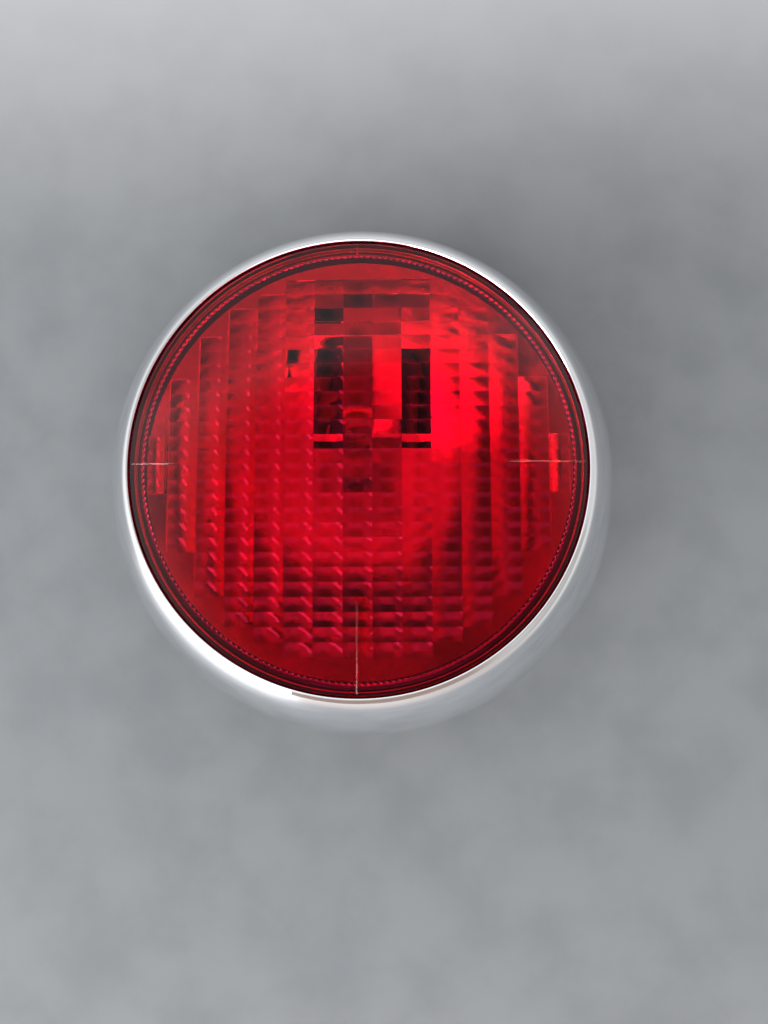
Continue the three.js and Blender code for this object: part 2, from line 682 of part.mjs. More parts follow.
// Points of a helix along one axis: (radius, pitch angle round the axis, place along it).
function helix(radius, turns, [start, end], perTurn, place) {
  const count = turns * perTurn;
  return Array.from({ length: count + 1 }, (_, i) => {
    const angle = (2 * Math.PI * i) / perTurn;
    return place(radius * Math.cos(angle), radius * Math.sin(angle), start + ((end - start) * i) / count);
  });
}

function makeContactSpring() {
  const span = [DISC_Y + DISC_THICKNESS + FIT + SPRING.wireR, CAP_Y - FIT - SPRING.wireR];
  const coil = curveThrough(helix(SPRING.r, SPRING.turns, span, 12, (x, z, y) => [x, y, z]));
  return piece('contact_spring', wire(coil, SPRING.wireR, 12 * SPRING.turns), SPRING_STEEL);
}

// ------------------------------------------------------------------------------------------------- bulb

// All of the bulb is drawn about its own axis, with the globe's centre at y = 0.
function makeBulbGlass() {
  const shoulder = THREE.MathUtils.degToRad(35);
  const side = (radius, neck) => {
    const [x, y] = [radius * Math.cos(shoulder), radius * Math.sin(shoulder)];
    const cornerY = y + (x - neck) / Math.tan(shoulder);
    const blend = new THREE.QuadraticBezierCurve(
      new THREE.Vector2(x, y),
      new THREE.Vector2(neck, cornerY),
      new THREE.Vector2(neck, cornerY + 2),
    );
    const globe = arc(0, 0, radius, -Math.PI / 2, shoulder, 7);
    globe[0][0] = 0;
    return [...globe, ...along(blend, 3).slice(1), [neck, NECK_END]];
  };
  const outline = [...side(GLOBE_R, NECK_R), ...side(GLOBE_R - GLASS, NECK_R - GLASS).reverse()];
  return piece('bulb_glass', spin(outline, SMALL_ROUND, 'y'), CLEAR_GLASS);
}

// The brass base with its two bayonet pins.
function makeBulbBase() {
  const wallInnerR = BASE_R - 0.4;
  const outline = [
    [wallInnerR, BASE_START],
    [BASE_R, BASE_START],
    [BASE_R, BASE_END - 0.5],
    [BASE_R - 0.5, BASE_END],
    [5.8, BASE_END],
    [5.8, BASE_END - 0.4],
    [wallInnerR - 0.2, BASE_END - 0.6],
    [wallInnerR, BASE_END - 0.8],
  ];
  const pins = PIN_PLACES.map((place, i) => {
    const pin = new THREE.CylinderGeometry(PIN_R, PIN_R, PIN_REACH - wallInnerR, BORE_ROUND);
    pin.rotateZ(Math.PI / 2).translate((PIN_REACH + wallInnerR) / 2, place, 0);
    return pin.rotateY(i * Math.PI);
  });
  return piece('bulb_base', join(spin(outline, SMALL_ROUND, 'y'), ...pins), BRASS);
}

function makeBulbInsulator() {
  const outline = [
    [0, BASE_END - 2.4],
    [6.4, BASE_END - 2.4],
    [6.4, BASE_END - 1],
    [5.4, BASE_END - 0.8],
    [5.4, BASE_END + 0.6],
    [0, BASE_END + 0.6],
  ];
  return piece('bulb_insulator', spin(outline, SMALL_ROUND, 'y'), BLACK_GLASS);
}

function makeBulbContact(name, side) {
  const outline = [
    [0, BASE_END + 0.8],
    [1.9, BASE_END + 0.8],
    [1.7, BASE_END + 0.95],
    [0, BASE_END + 1.1],
  ];
  const contact = piece(name, spin(outline, BORE_ROUND, 'y'), NICKEL);
  contact.position.x = side * CONTACT_OFFSET;
  return contact;
}

// The pinched glass stem that carries the support wires.
function makeBulbStem() {
  const stem = spin(STEM_PROFILE, SMALL_ROUND, 'y');
  return piece('bulb_stem', stem.scale(1, 1, STEM_PINCH), CLEAR_GLASS);
}

// A coiled filament across the bulb, on two support wires that end at the stem's sides.
function makeFilament(name, side, halfLength, turns) {
  const z = side * FILAMENT.z;
  const leg = (x) => [
    [x, FILAMENT.legTop, z],
    [x, FILAMENT.legBend, z],
    [x * 1.15, FILAMENT.legEnd, z],
  ];
  const coil = helix(FILAMENT.coilR, turns, [-halfLength, halfLength], 8, (y, dz, x) => [x, y, z + dz]);
  const path = curveThrough([...leg(-halfLength - 0.7), ...coil, ...leg(halfLength + 0.7).reverse()]);
  return piece(name, wire(path, FILAMENT.wireR, 12 * turns, 5), TUNGSTEN);
}

// ------------------------------------------------------------------------------------ terminals and leads

const terminalXs = [-TERMINAL_PITCH, 0, TERMINAL_PITCH];
const BLOCK_TOP_Z = ON_FLOOR_Z + BLOCK.z;
const BLOCK_MID_Y = BLOCK_NEAR_Y - BLOCK.y / 2;

function makeTerminalBlock() {
  const farY = BLOCK_NEAR_Y - BLOCK.y;
  const body = box([-BLOCK.x / 2, BLOCK.x / 2], [farY, BLOCK_NEAR_Y], [ON_FLOOR_Z, BLOCK_TOP_Z]);
  const holes = terminalXs.flatMap((x) => [
    axle(LEAD_R + FIT, [BLOCK_NEAR_Y - 4, BLOCK_NEAR_Y + 1], x, TERMINAL_Z),
    axle(LEAD_R + FIT, [farY - 1, farY + 3], x, TERMINAL_Z),
    post(TERMINAL_WELL.r, [BLOCK_TOP_Z - TERMINAL_WELL.depth, BLOCK_TOP_Z + 1], x, BLOCK_MID_Y),
    post(TERMINAL_WELL.boreR, [BLOCK_TOP_Z - 6, BLOCK_TOP_Z + 1], x, BLOCK_MID_Y),
  ]);
  return piece('terminal_block', cut(body, ...holes), PHENOLIC);
}

function makeTerminalScrew(name, x) {
  const { r, headR, length, headHeight, slot } = TERMINAL_SCREW;
  const seatZ = BLOCK_TOP_Z - TERMINAL_WELL.depth + FIT;
  const topZ = seatZ + headHeight;
  const blank = spin(
    [
      [0, seatZ - length],
      [r, seatZ - length],
      [r, seatZ],
      [headR, seatZ],
      [headR, topZ],
      [0, topZ],
    ],
    BORE_ROUND,
  );
  const groove = box([-headR - 1, headR + 1], [-slot / 2, slot / 2], [topZ - slot, topZ + 1]);
  const screw = piece(name, cut(blank, groove), BRASS);
  screw.position.set(x, BLOCK_MID_Y, 0);
  return screw;
}

// The lead from one socket contact: down behind the bracket and along the floor to its terminal.
function makeSocketLead(name, side, finish) {
  const route = [
    [side * CONTACT_OFFSET, CAP_Y + 0.4, BULB_AXIS_Z],
    [side * CONTACT_OFFSET, SHELL_END_Y + 1.2, BULB_AXIS_Z],
    [side * 3.6, 41.4, 25.2],
    [side * 4.2, 42, 20.5],
    [side * 8, 39.4, 14.5],
    [side * 13.4, 33, 9.6],
    [side * 15, 22, 8],
    [side * 15.2, 6, 8],
    [side * 14.6, -6, 8.4],
    [side * 10.6, -13.4, 9.4],
    [side * TERMINAL_PITCH, -18, TERMINAL_Z],
    [side * TERMINAL_PITCH, BLOCK_NEAR_Y - 3, TERMINAL_Z],
  ];
  return piece(name, wire(curveThrough(route), LEAD_R, 34, 8), finish);
}

// The short lead from the middle terminal to the bracket's foot.
function makeEarthLead() {
  const route = [
    [0, BLOCK_NEAR_Y - 3, TERMINAL_Z],
    [0, -17.4, TERMINAL_Z],
    [-5, -12.6, 9.6],
    [-11.2, -6, 9],
    [-11.6, 4, 8.9],
    [-9.6, 12, 8.8],
    [-9, 16, 8.8],
  ];
  return piece('lead_earth', wire(curveThrough(route), LEAD_R, 24, 8), BROWN_SLEEVE);
}

// --------------------------------------------------------------------------------------------- assembly

function bulbAssembly() {
  const bulb = groupOf(
    makeBulbGlass(),
    makeBulbBase(),
    makeBulbInsulator(),
    makeBulbContact('bulb_contact_tail', -1),
    makeBulbContact('bulb_contact_brake', 1),
    makeBulbStem(),
    makeFilament('filament_tail', -1, 2.4, 4),
    makeFilament('filament_brake', 1, 3, 5),
  );
  bulb.position.set(0, BULB_SHIFT_Y, BULB_AXIS_Z);
  return bulb;
}

function socketAssembly() {
  const socket = groupOf(
    makeSocketShell(),
    makeSocketCap(),
    makeContactDisc(),
    makeContactRivet('contact_rivet_tail', -1),
    makeContactRivet('contact_rivet_brake', 1),
    makeContactSpring(),
  );
  socket.position.z = BULB_AXIS_Z;
  return socket;
}

function rimAssembly() {
  return groupOf(makeRim(), makeLens(), ...roundTheRim((i) => makeLug('rim_lug_' + i)));
}

function housingAssembly() {
  return groupOf(
    makeHousing(),
    makeCarrierRing(),
    makeBasePad(),
    makeGrommet(),
    makeMountNut('mount_nut_left', -1),
    makeMountNut('mount_nut_right', 1),
    makeWindow(),
    makeWindowSeal(),
    makeReflector(),
    makeLensGasket(),
    makeBracket(),
    makeRivet('bracket_rivet_left', -1),
    makeRivet('bracket_rivet_right', 1),
  );
}

function wiringAssembly() {
  const screwNames = ['terminal_screw_tail', 'terminal_screw_earth', 'terminal_screw_brake'];
  return groupOf(
    makeTerminalBlock(),
    ...screwNames.map((name, i) => makeTerminalScrew(name, terminalXs[i])),
    makeSocketLead('lead_tail', -1, GREY_SLEEVE),
    makeSocketLead('lead_brake', 1, RED_SLEEVE),
    makeEarthLead(),
  );
}

const tailLight = groupOf(
  housingAssembly(),
  wiringAssembly(),
  socketAssembly(),
  bulbAssembly(),
  rimAssembly(),
  ...roundTheRim(screwStation),
);

export default tailLight;
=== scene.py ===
"""Looks of a round motorcycle tail light: chrome rim, red prismatic lens, reflector, bulb and housing.

Lengths are written in millimetres in the part's own frame (+Z out through the lens, +Y the upper edge) and
become metres where a mesh is made. Each piece stands for the CAD node of the same name.
"""

import json
import math

import bmesh
import bpy
from mathutils import Euler, Matrix, Vector, geometry


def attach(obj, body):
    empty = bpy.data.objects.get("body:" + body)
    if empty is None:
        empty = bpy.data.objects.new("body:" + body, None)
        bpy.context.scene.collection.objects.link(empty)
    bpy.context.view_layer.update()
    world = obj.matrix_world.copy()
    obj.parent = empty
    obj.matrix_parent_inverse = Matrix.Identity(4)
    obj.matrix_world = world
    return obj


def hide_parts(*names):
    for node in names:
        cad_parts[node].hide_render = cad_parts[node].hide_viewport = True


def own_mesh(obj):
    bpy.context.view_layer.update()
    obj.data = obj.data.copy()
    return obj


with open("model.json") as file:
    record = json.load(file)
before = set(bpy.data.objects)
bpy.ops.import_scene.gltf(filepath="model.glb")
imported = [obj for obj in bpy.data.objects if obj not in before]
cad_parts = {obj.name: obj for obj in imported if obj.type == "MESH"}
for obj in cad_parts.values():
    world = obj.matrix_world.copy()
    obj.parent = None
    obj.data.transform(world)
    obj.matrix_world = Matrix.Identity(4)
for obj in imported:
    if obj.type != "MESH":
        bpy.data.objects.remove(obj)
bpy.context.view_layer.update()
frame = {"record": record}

# ------------------------------ sizes

MM = 0.001
ROUND = 192  # segments round the lamp
SMALL = 64  # segments round the bulb, socket and grommet
TINY = 32  # segments round a screw, rivet or hole

FIT = 0.3
SHEET = 1.2

LIP_R, LIP_Z = 48.5, 52.0
RIM_R, RIM_REAR_Z = 60.4, 27.0
RIM_SHEET = 0.9
LIP_SLOPE, LIP_HANDLE = math.radians(31), 6.3
SKIRT_SLOPE, SKIRT_HANDLE = math.radians(77), 8.5
HEM_R, HEM_DROP = 0.62, 0.38
LIP_TURN = [(0.1, -RIM_SHEET), (0, -0.6), (0, -0.2), (0.16, -0.03)]  # the lip's edge, from inside to top

LENS_FACE_R = 48.2
LENS_EDGE_Z = 51.5
LENS_CROWN_Z = 53.7
LENS_THICKNESS = 2.8
LENS_SPHERE_R = (LENS_FACE_R**2 + (LENS_CROWN_Z - LENS_EDGE_Z) ** 2) / (2 * (LENS_CROWN_Z - LENS_EDGE_Z))
LENS_INNER_R = 47.6
FLANGE_R, FLANGE_TOP_Z, FLANGE_Z = 50.3, 49.1, 46.9
FACE_RINGS, FACE_RING_R = 24, 47.0  # evenly spaced rings of the outer face's mesh

COLUMN_PITCH = 6.2
ROW_PITCH = 3.1
ACROSS, ALONG = 8, 6  # mesh steps in one prism
PRISM_R = 45.2  # the prisms stay inside this radius
MOST_ROWS = 13  # above and below the middle
OUTER_COLUMN = 7
OUTER_COLUMN_EDGE = 44.6
PRISM_HEIGHT = 0.85
PRISM_TILT = 0.13  # rise across a column for each column away from the middle
ROW_TILT = -0.34  # rise across a row, which makes a small step between rows
COLUMN_CROWN = 0.5
ROW_CROWN = 0.16
KNURL_TEETH = 220
KNURL_IN_R, KNURL_MID_R, KNURL_R = 45.3, 45.75, 46.1
KNURL_DEPTH = 0.5
MOULD_LINES = {0: 30.0, 90: 44.5, 180: 37.0, 270: 28.0}  # direction and where each line starts
MOULD_LINE_HALF, MOULD_LINE_RISE = 0.24, 0.22
MOULD_LINE_SECTION = [(-1, -0.05), (-0.5, 0.7), (0, 1), (0.5, 0.7), (1, -0.05)]  # in halves and rises

SEAT_R = 50.3
GASKET_INNER_R, GASKET_Z, GASKET_TOP_Z = 47.5, 41.9, 46.6
REFLECTOR_VERTEX_Z = 9.5
BULB_Z = 27.0
FOCAL_LENGTH = BULB_Z - REFLECTOR_VERTEX_Z
REFLECTOR_SHEET = 0.8
REFLECTOR_TOP_Z, REFLECTOR_FLANGE_Z = 41.6, 40.8
REFLECTOR_OPENINGS = [((-16, 16), (10, 31)), ((-11.6, 11.6), (30, 34)), ((-9.3, 9.3), (33, 38.8))]
SEAT_Z, SEAT_INNER_R = 40.5, 48.6

WALL_LEAN = math.radians(11)
HOUSING_Z, FLOOR_Z, ON_FLOOR_Z = 4.3, 5.5, 5.8
CORNER_R = 6.0
CABLE_HOLE_R = 7.0
BOLT_X, BOLT_HOLE_R = 24.0, 3.4
RIVET_X, RIVET_Y, RIVET_HOLE_R = 6.0, 20.5, 1.8
DRAIN_R, DRAIN_Z = 1.6, 35.0
WINDOW_HALF, WINDOW_LOW, WINDOW_HIGH = 14.0, 13.0, 24.0
WINDOW_RIM, SEAL_THICKNESS, WINDOW_THICKNESS = 3.0, 1.0, 2.0
PAD_R, PAD_THICKNESS, PAD_HOLE_R = 39.5, 4.0, 9.8
PAD_RIBS, PAD_MARGIN = 9, 2
PAD_GROOVE = [(0, 0), (0.5, 0.7), (1.3, 0.7), (1.8, 0)]  # one groove between ribs: along, depth
GROMMET_BORE_R, GROMMET_FLANGE_R, GROMMET_REAR_Z, GROMMET_LIP = 3.6, 9.2, 1, 1.6
NUT_CORNER_R, NUT_BORE_R, NUT_HEIGHT, NUT_PITCH, NUT_THREADS = 5.77, 2.5, 5, 0.8, 6
FLOOR_CUT = (3, 7)  # from below to above the housing's floor
WALL_CUT_Y, WALL_PATCH_Y = -30, -20  # inside the housing's lower wall

CARRIER_Z, CARRIER_TOP_Z, CARRIER_R, COLLAR_TOP_Z = 28.2, 29.4, 58.4, 33.0
SCREW_CIRCLE_R, SCREW_HOLE_R, SCREW_R = 54.3, 2.35, 2.0
SCREW_HEAD_R, SCREW_HEAD_Z, SCREW_HEAD_TOP_Z, SCREW_TIP_Z = 3.4, 25.6, 27.9, 34.9
SCREW_ANGLES = [90, 210, 330]
SCREW_PITCH, SCREW_THREAD = 0.7, 0.32
CARRIER_CUT = (27, 31)  # from below to above the carrier ring
LUG_FOOT = ((51.3, 57.6), (-5, 5), (29.7, 31.3))
LUG_BOSS_R, LUG_BOSS_TOP_Z = 3.1, 33.3

GLOBE_Y = -3.0  # the bulb's lengths are counted along +Y from the globe's centre
CONTACT_X = 3.4
CONTACT_TRAVEL = 1.5
PINS = [(26, 0), (23, 180)]  # bayonet pins: how far along the bulb, and their turn in degrees
GLOBE_R, NECK_R, GLASS = 12.5, 6.7, 0.7
SHELL_IN_R, SHELL_R = 7.75, 8.6
SHELL_Y, SHELL_END_Y = 13.5, 38.2
SHELL_COLLAR_R, SHELL_COLLAR_Y, SHELL_COLLAR_END_Y = 10.8, 30.4, 31.6
SLOT_HALF = 1.5
ARM_Y = 31.9
BRACKET_HALF, BRACKET_TOP_Z, BRACKET_FOOT_Y = 11.0, 37.8, 14.0
BEND_OUT_R, BEND_IN_R = 1.8, 0.6
RIVET_SHANK_R = 1.5
RIVET_HEAD = [(2.8, 0), (2.7, 0.35), (2.3, 0.85), (1.6, 1.2), (0.8, 1.36), (0, 1.4)]  # radius, height
CAP_Y = 37.0
DISC_Y, DISC_THICKNESS = 31.9, 1.2
SPRING_R, SPRING_WIRE_R, SPRING_TURNS = 5.7, 0.45, 3
LEAD_R = 1.1
BLOCK_HALF, BLOCK_Y0, BLOCK_Y1, BLOCK_TOP_Z = 13.0, -31.0, -19.4, 13.4
TERMINAL_X, TERMINAL_Z = 8.0, 9.8
WELL_R, WELL_DEPTH, WELL_BORE_R, WELL_BORE_DEPTH = 2.9, 2.8, 1.5, 6
GROOVE_HALF, GROOVE_DEPTH = 0.4, 0.8

CAMERA_PLACE = (8.47, -26.2, 204.55)
CAMERA_TURN = (5.88, 1.105, -0.137)  # degrees about X, Y and Z, from looking straight down
CAMERA_LENS, CAMERA_SENSOR = 26, 36
FLOOR_HALF = 12000


# ------------------------------ outlines and meshes


def arc(x, y, radius, start, end, steps):
    """Points on a circle from one angle to another, in degrees."""
    angles = [math.radians(start + (end - start) * i / steps) for i in range(steps + 1)]
    return [(x + radius * math.cos(a), y + radius * math.sin(a)) for a in angles]


def bezier(p0, p1, p2, p3, steps):
    """Points on a cubic Bezier curve, each with its unit tangent."""
    found = []
    for i in range(steps + 1):
        t = i / steps
        s = 1 - t
        point = p0 * s**3 + p1 * (3 * s * s * t) + p2 * (3 * s * t * t) + p3 * t**3
        tangent = (p1 - p0) * (s * s) + (p2 - p1) * (2 * s * t) + (p3 - p2) * (t * t)
        found.append((point, tangent.normalized()))
    return found


def soften(outline, radius, closed=True, steps=3):
    """The outline with each clear corner turned into a small curve."""
    count = len(outline)
    rounded = []
    for i, corner in enumerate(outline):
        here = Vector(corner)
        if not closed and i in (0, count - 1):
            rounded.append(corner)
            continue
        before, after = Vector(outline[i - 1]), Vector(outline[(i + 1) % count])
        back, on = before - here, after - here
        straight = back.length < 1e-6 or on.length < 1e-6 or back.angle(on) > math.radians(155)
        if straight:
            rounded.append(corner)
            continue
        reach = min(radius, 0.42 * back.length, 0.42 * on.length)
        start, end = here + back.normalized() * reach, here + on.normalized() * reach
        for k in range(steps + 1):
            t = k / steps
            rounded.append(tuple(start * (1 - t) ** 2 + here * (2 * t * (1 - t)) + end * t * t))
    return rounded


def mesh_object(name, points, faces, smooth=30):
    """A mesh object from points in millimetres, with outward faces, smooth up to an angle in degrees."""
    mesh = bpy.data.meshes.new(name)
    mesh.from_pydata([Vector(p) * MM for p in points], [], faces)
    body = bmesh.new()
    body.from_mesh(mesh)
    bmesh.ops.remove_doubles(body, verts=body.verts, dist=1e-7)
    bmesh.ops.recalc_face_normals(body, faces=body.faces)
    body.to_mesh(mesh)
    body.free()
    shade(mesh, smooth)
    obj = bpy.data.objects.new(name, mesh)
    bpy.context.scene.collection.objects.link(obj)
    return obj


def shade(mesh, smooth):
    mesh.polygons.foreach_set("use_smooth", [True] * len(mesh.polygons))
    mesh.set_sharp_from_angle(angle=math.radians(smooth))


def lathe(name, outline, segments=ROUND, axis="z", at=(0, 0, 0), smooth=30):
    """A closed (radius, height) outline turned about the Z or Y axis through a point.

    An outline that starts and ends on the axis is open there and closes at its two poles.
    """
    points, faces, rings = [], [], []
    for radius, height in outline:
        if radius < 1e-6:
            rings.append([len(points)] * segments)
            points.append((0, 0, height) if axis == "z" else (0, height, 0))
            continue
        rings.append(list(range(len(points), len(points) + segments)))
        for i in range(segments):
            angle = 2 * math.pi * i / segments
            x, w = radius * math.cos(angle), radius * math.sin(angle)
            points.append((x, w, height) if axis == "z" else (x, height, w))
    on_axis = outline[0][0] < 1e-6 and outline[-1][0] < 1e-6
    pairs = list(zip(rings, rings[1:])) + ([] if on_axis else [(rings[-1], rings[0])])
    for low, high in pairs:
        for i in range(segments):
            j = (i + 1) % segments
            corners = [low[i], low[j], high[j], high[i]]
            faces.append(list(dict.fromkeys(corners)))
    offset = Vector(at)
    return mesh_object(name, [Vector(p) + offset for p in points], faces, smooth)


def block(name, xs, ys, zs):
    """A plain box, for cutting or as the start of a carved piece."""
    points = [(x, y, z) for x in xs for y in ys for z in zs]
    faces = [(0, 1, 3, 2), (4, 5, 7, 6), (0, 1, 5, 4), (2, 3, 7, 6), (0, 2, 6, 4), (1, 3, 7, 5)]
    return mesh_object(name, points, faces)


def post(radius, z0, z1, x=0, y=0, segments=TINY):
    """A cutting cylinder along Z."""
    return lathe("tool", [(0, z0), (radius, z0), (radius, z1), (0, z1)], segments, at=(x, y, 0))


def axle(radius, y0, y1, x=0, z=0, segments=TINY):
    """A cutting cylinder along Y."""
    return lathe("tool", [(0, y0), (radius, y0), (radius, y1), (0, y1)], segments, "y", (x, 0, z))


def apply_modifiers(obj, smooth=30):
    """Bakes an object's modifiers into its mesh."""
    graph = bpy.context.evaluated_depsgraph_get()
    baked = bpy.data.meshes.new_from_object(obj.evaluated_get(graph))
    obj.modifiers.clear()
    obj.data = baked
    shade(baked, smooth)
    return obj


def carve(obj, tools, how="DIFFERENCE", bevel=0.0, smooth=30):
    """Cuts each tool from an object, or joins it or keeps what they share, then bevels the sharp edges."""
    for tool in tools:
        step = obj.modifiers.new("carve", "BOOLEAN")
        step.operation = how
        step.solver = "EXACT"
        step.object = tool
    if bevel:
        edge = obj.modifiers.new("bevel", "BEVEL")
        edge.width = bevel * MM
        edge.segments = 2
        edge.limit_method = "ANGLE"
        edge.angle_limit = math.radians(40)
        edge.use_clamp_overlap = True
    bpy.context.view_layer.update()
    apply_modifiers(obj, smooth)
    for tool in tools:
        bpy.data.objects.remove(tool)
    return obj


def sweep(name, path, radius, sides=12):
    """A round wire along a path of points, with its section carried along without twist."""
    points = [Vector(p) for p in path]
    last = len(points) - 1
    tangents = [(points[min(i + 1, last)] - points[max(i - 1, 0)]).normalized() for i in range(last + 1)]
    side = tangents[0].orthogonal().normalized()
    verts, faces = [], []
    for point, tangent in zip(points, tangents):
        side = (side - tangent * side.dot(tangent)).normalized()
        other = tangent.cross(side)
        for k in range(sides):
            angle = 2 * math.pi * k / sides
            verts.append(point + (side * math.cos(angle) + other * math.sin(angle)) * radius)
    for i in range(last):
        for k in range(sides):
            j = (k + 1) % sides
            faces.append([i * sides + k, i * sides + j, (i + 1) * sides + j, (i + 1) * sides + k])
    faces += [list(range(sides)), list(range(last * sides, (last + 1) * sides))]
    return mesh_object(name, verts, faces, smooth=50)


def smooth_path(points, per_span=8):
    """Points on a centripetal Catmull-Rom curve through the given points."""
    given = [Vector(p) for p in points]
    given = [given[0] * 2 - given[1], *given, given[-1] * 2 - given[-2]]
    found = []
    for a, b, c, d in zip(given, given[1:], given[2:], given[3:]):
        t0 = 0.0
        t1 = t0 + math.sqrt((b - a).length)
        t2 = t1 + math.sqrt((c - b).length)
        t3 = t2 + math.sqrt((d - c).length)
        for k in range(per_span):
            t = t1 + (t2 - t1) * k / per_span
            ab = a.lerp(b, (t - t0) / (t1 - t0))
            bc = b.lerp(c, (t - t1) / (t2 - t1))
            cd = c.lerp(d, (t - t2) / (t3 - t2))
            early = ab.lerp(bc, (t - t0) / (t2 - t0))
            late = bc.lerp(cd, (t - t1) / (t3 - t1))
            found.append(early.lerp(late, (t - t1) / (t2 - t1)))
    return [*found, given[-2]]


def helix(radius, turns, start, end, per_turn, place):
    """Points on a coil. place turns two places across the coil and one along it into a point."""
    count = round(turns * per_turn)
    found = []
    for i in range(count + 1):
        angle = 2 * math.pi * i / per_turn
        along = start + (end - start) * i / count
        found.append(place(radius * math.cos(angle), radius * math.sin(angle), along))
    return found


def shift(x, y, z):
    """A move in millimetres as a matrix in metres."""
    return Matrix.Translation(Vector((x, y, z)) * MM)


def turn(x, y, z):
    """A turn in radians as a matrix."""
    return Euler((x, y, z)).to_matrix().to_4x4()


def turn_about_z(obj, degrees):
    obj.data.transform(turn(0, 0, math.radians(degrees)))
    return obj


# ------------------------------ finishes


def multiplied(nodes, links, a, b):
    node = nodes.new("ShaderNodeMath")
    node.operation = "MULTIPLY"
    links.new(a, node.inputs[0])
    links.new(b, node.inputs[1])
    return node.outputs["Value"]


class Finish:
    """A Principled material with short calls for the nodes that vary it. Sizes are in millimetres."""

    def __init__(self, name, color, **sockets):
        self.material = bpy.data.materials.new(name)
        self.material.use_nodes = True
        self.nodes = self.material.node_tree.nodes
        self.links = self.material.node_tree.links
        self.shader = self.nodes["Principled BSDF"]
        self.place = self.nodes.new("ShaderNodeTexCoord").outputs["Object"]
        self.normal = None
        self.shader.inputs["Base Color"].default_value = (*color, 1)
        for socket, value in sockets.items():
            label = socket.replace("_", " ").title().replace("Ior", "IOR")
            self.shader.inputs[label].default_value = value

    def texture(self, kind, output, size, stretch=(1, 1, 1), degrees=0.0, **sockets):
        """One output of a texture node, with features about this size, stretched and turned."""
        spread = self.nodes.new("ShaderNodeMapping")
        spread.inputs["Rotation"].default_value = (0, 0, math.radians(degrees))
        spread.inputs["Scale"].default_value = stretch
        node = self.nodes.new(kind)
        node.inputs["Scale"].default_value = 1 / (size * MM)
        for socket, value in sockets.items():
            node.inputs[socket.title()].default_value = value
        self.links.new(self.place, spread.inputs["Vector"])
        self.links.new(spread.outputs["Vector"], node.inputs["Vector"])
        return node.outputs[output]

    def noise(self, size, detail, stretch=(1, 1, 1)):
        """Soft noise whose blotches are about this size."""
        return self.texture("ShaderNodeTexNoise", "Fac", size, stretch, detail=detail, roughness=0.55)

    def cells(self, size):
        """Distance to the nearest of scattered points, for pits and specks."""
        return self.texture("ShaderNodeTexVoronoi", "Distance", size)

    def scratches(self, size, degrees, thin):
        """Fine lines in one direction: noise drawn out along an axis."""
        return self.texture("ShaderNodeTexNoise", "Fac", size, (1, thin, 1), degrees, detail=2)

    def ranged(self, value, low, high, to_low=0.0, to_high=1.0):
        """A value mapped smoothly from one range to another."""
        node = self.nodes.new("ShaderNodeMapRange")
        node.interpolation_type = "SMOOTHSTEP"
        for socket, number in zip(("From Min", "From Max", "To Min", "To Max"), (low, high, to_low, to_high)):
            node.inputs[socket].default_value = number
        self.links.new(value, node.inputs["Value"])
        return node.outputs["Result"]

    def product(self, a, b):
        """Where both of two masks are."""
        return multiplied(self.nodes, self.links, a, b)

    def edges(self):
        """1 on worn outer edges and 0 elsewhere."""
        return self.ranged(self.nodes.new("ShaderNodeNewGeometry").outputs["Pointiness"], 0.52, 0.6)

    def tint(self, mask, color):
        """Mixes a colour over the base colour by a mask."""
        mix = self.nodes.new("ShaderNodeMix")
        mix.data_type = "RGBA"
        base = self.shader.inputs["Base Color"]
        if base.links:
            self.links.new(base.links[0].from_socket, mix.inputs["A"])
        else:
            mix.inputs["A"].default_value = base.default_value
        mix.inputs["B"].default_value = (*color, 1)
        self.links.new(mask, mix.inputs["Factor"])
        self.links.new(mix.outputs["Result"], base)
        return self

    def rough(self, value, low, high):
        """Drives roughness from a 0 to 1 value."""
        self.links.new(self.ranged(value, 0, 1, low, high), self.shader.inputs["Roughness"])
        return self

    def bump(self, height, depth, strength):
        """Raises the surface by up to a depth in millimetres."""
        node = self.nodes.new("ShaderNodeBump")
        node.inputs["Strength"].default_value = strength
        node.inputs["Distance"].default_value = depth * MM
        self.links.new(height, node.inputs["Height"])
        if self.normal:
            self.links.new(self.normal, node.inputs["Normal"])
        self.normal = node.outputs["Normal"]
        self.links.new(self.normal, self.shader.inputs["Normal"])
        return self


def chrome():
    finish = Finish("rim_chrome", (0.88, 0.89, 0.91), metallic=1.0, roughness=0.05)
    haze = finish.ranged(finish.noise(9, 5), 0.35, 0.7)
    finish.rough(haze, 0.035, 0.11)
    finish.bump(finish.scratches(3.5, 20, 60), 0.004, 0.5)
    finish.bump(finish.noise(14, 3), 0.03, 0.6)
    pits = finish.ranged(finish.cells(1.6), 0.05, 0.0)
    spots = finish.product(pits, finish.ranged(finish.noise(8, 2), 0.55, 0.7))
    finish.tint(spots, (0.24, 0.2, 0.17))
    return finish.material


def red_lens():
    finish = Finish("lens_red", (0.98, 0.02, 0.115), transmission_weight=1.0, roughness=0.015, ior=1.49)
    finish.tint(finish.ranged(finish.noise(20, 3), 0.3, 0.8), (0.93, 0.014, 0.09))
    finish.bump(finish.noise(1.2, 4), 0.004, 0.35)
    finish.bump(finish.scratches(6, 35, 80), 0.002, 0.4)
    return finish.material


def reflector_metal():
    finish = Finish("reflector_bright", (0.96, 0.96, 0.95), metallic=1.0, roughness=0.07)
    finish.rough(finish.ranged(finish.noise(6, 5), 0.3, 0.75), 0.1, 0.18)
    finish.bump(finish.noise(0.6, 3, (1, 2.5, 1)), 0.012, 0.8)
    return finish.material


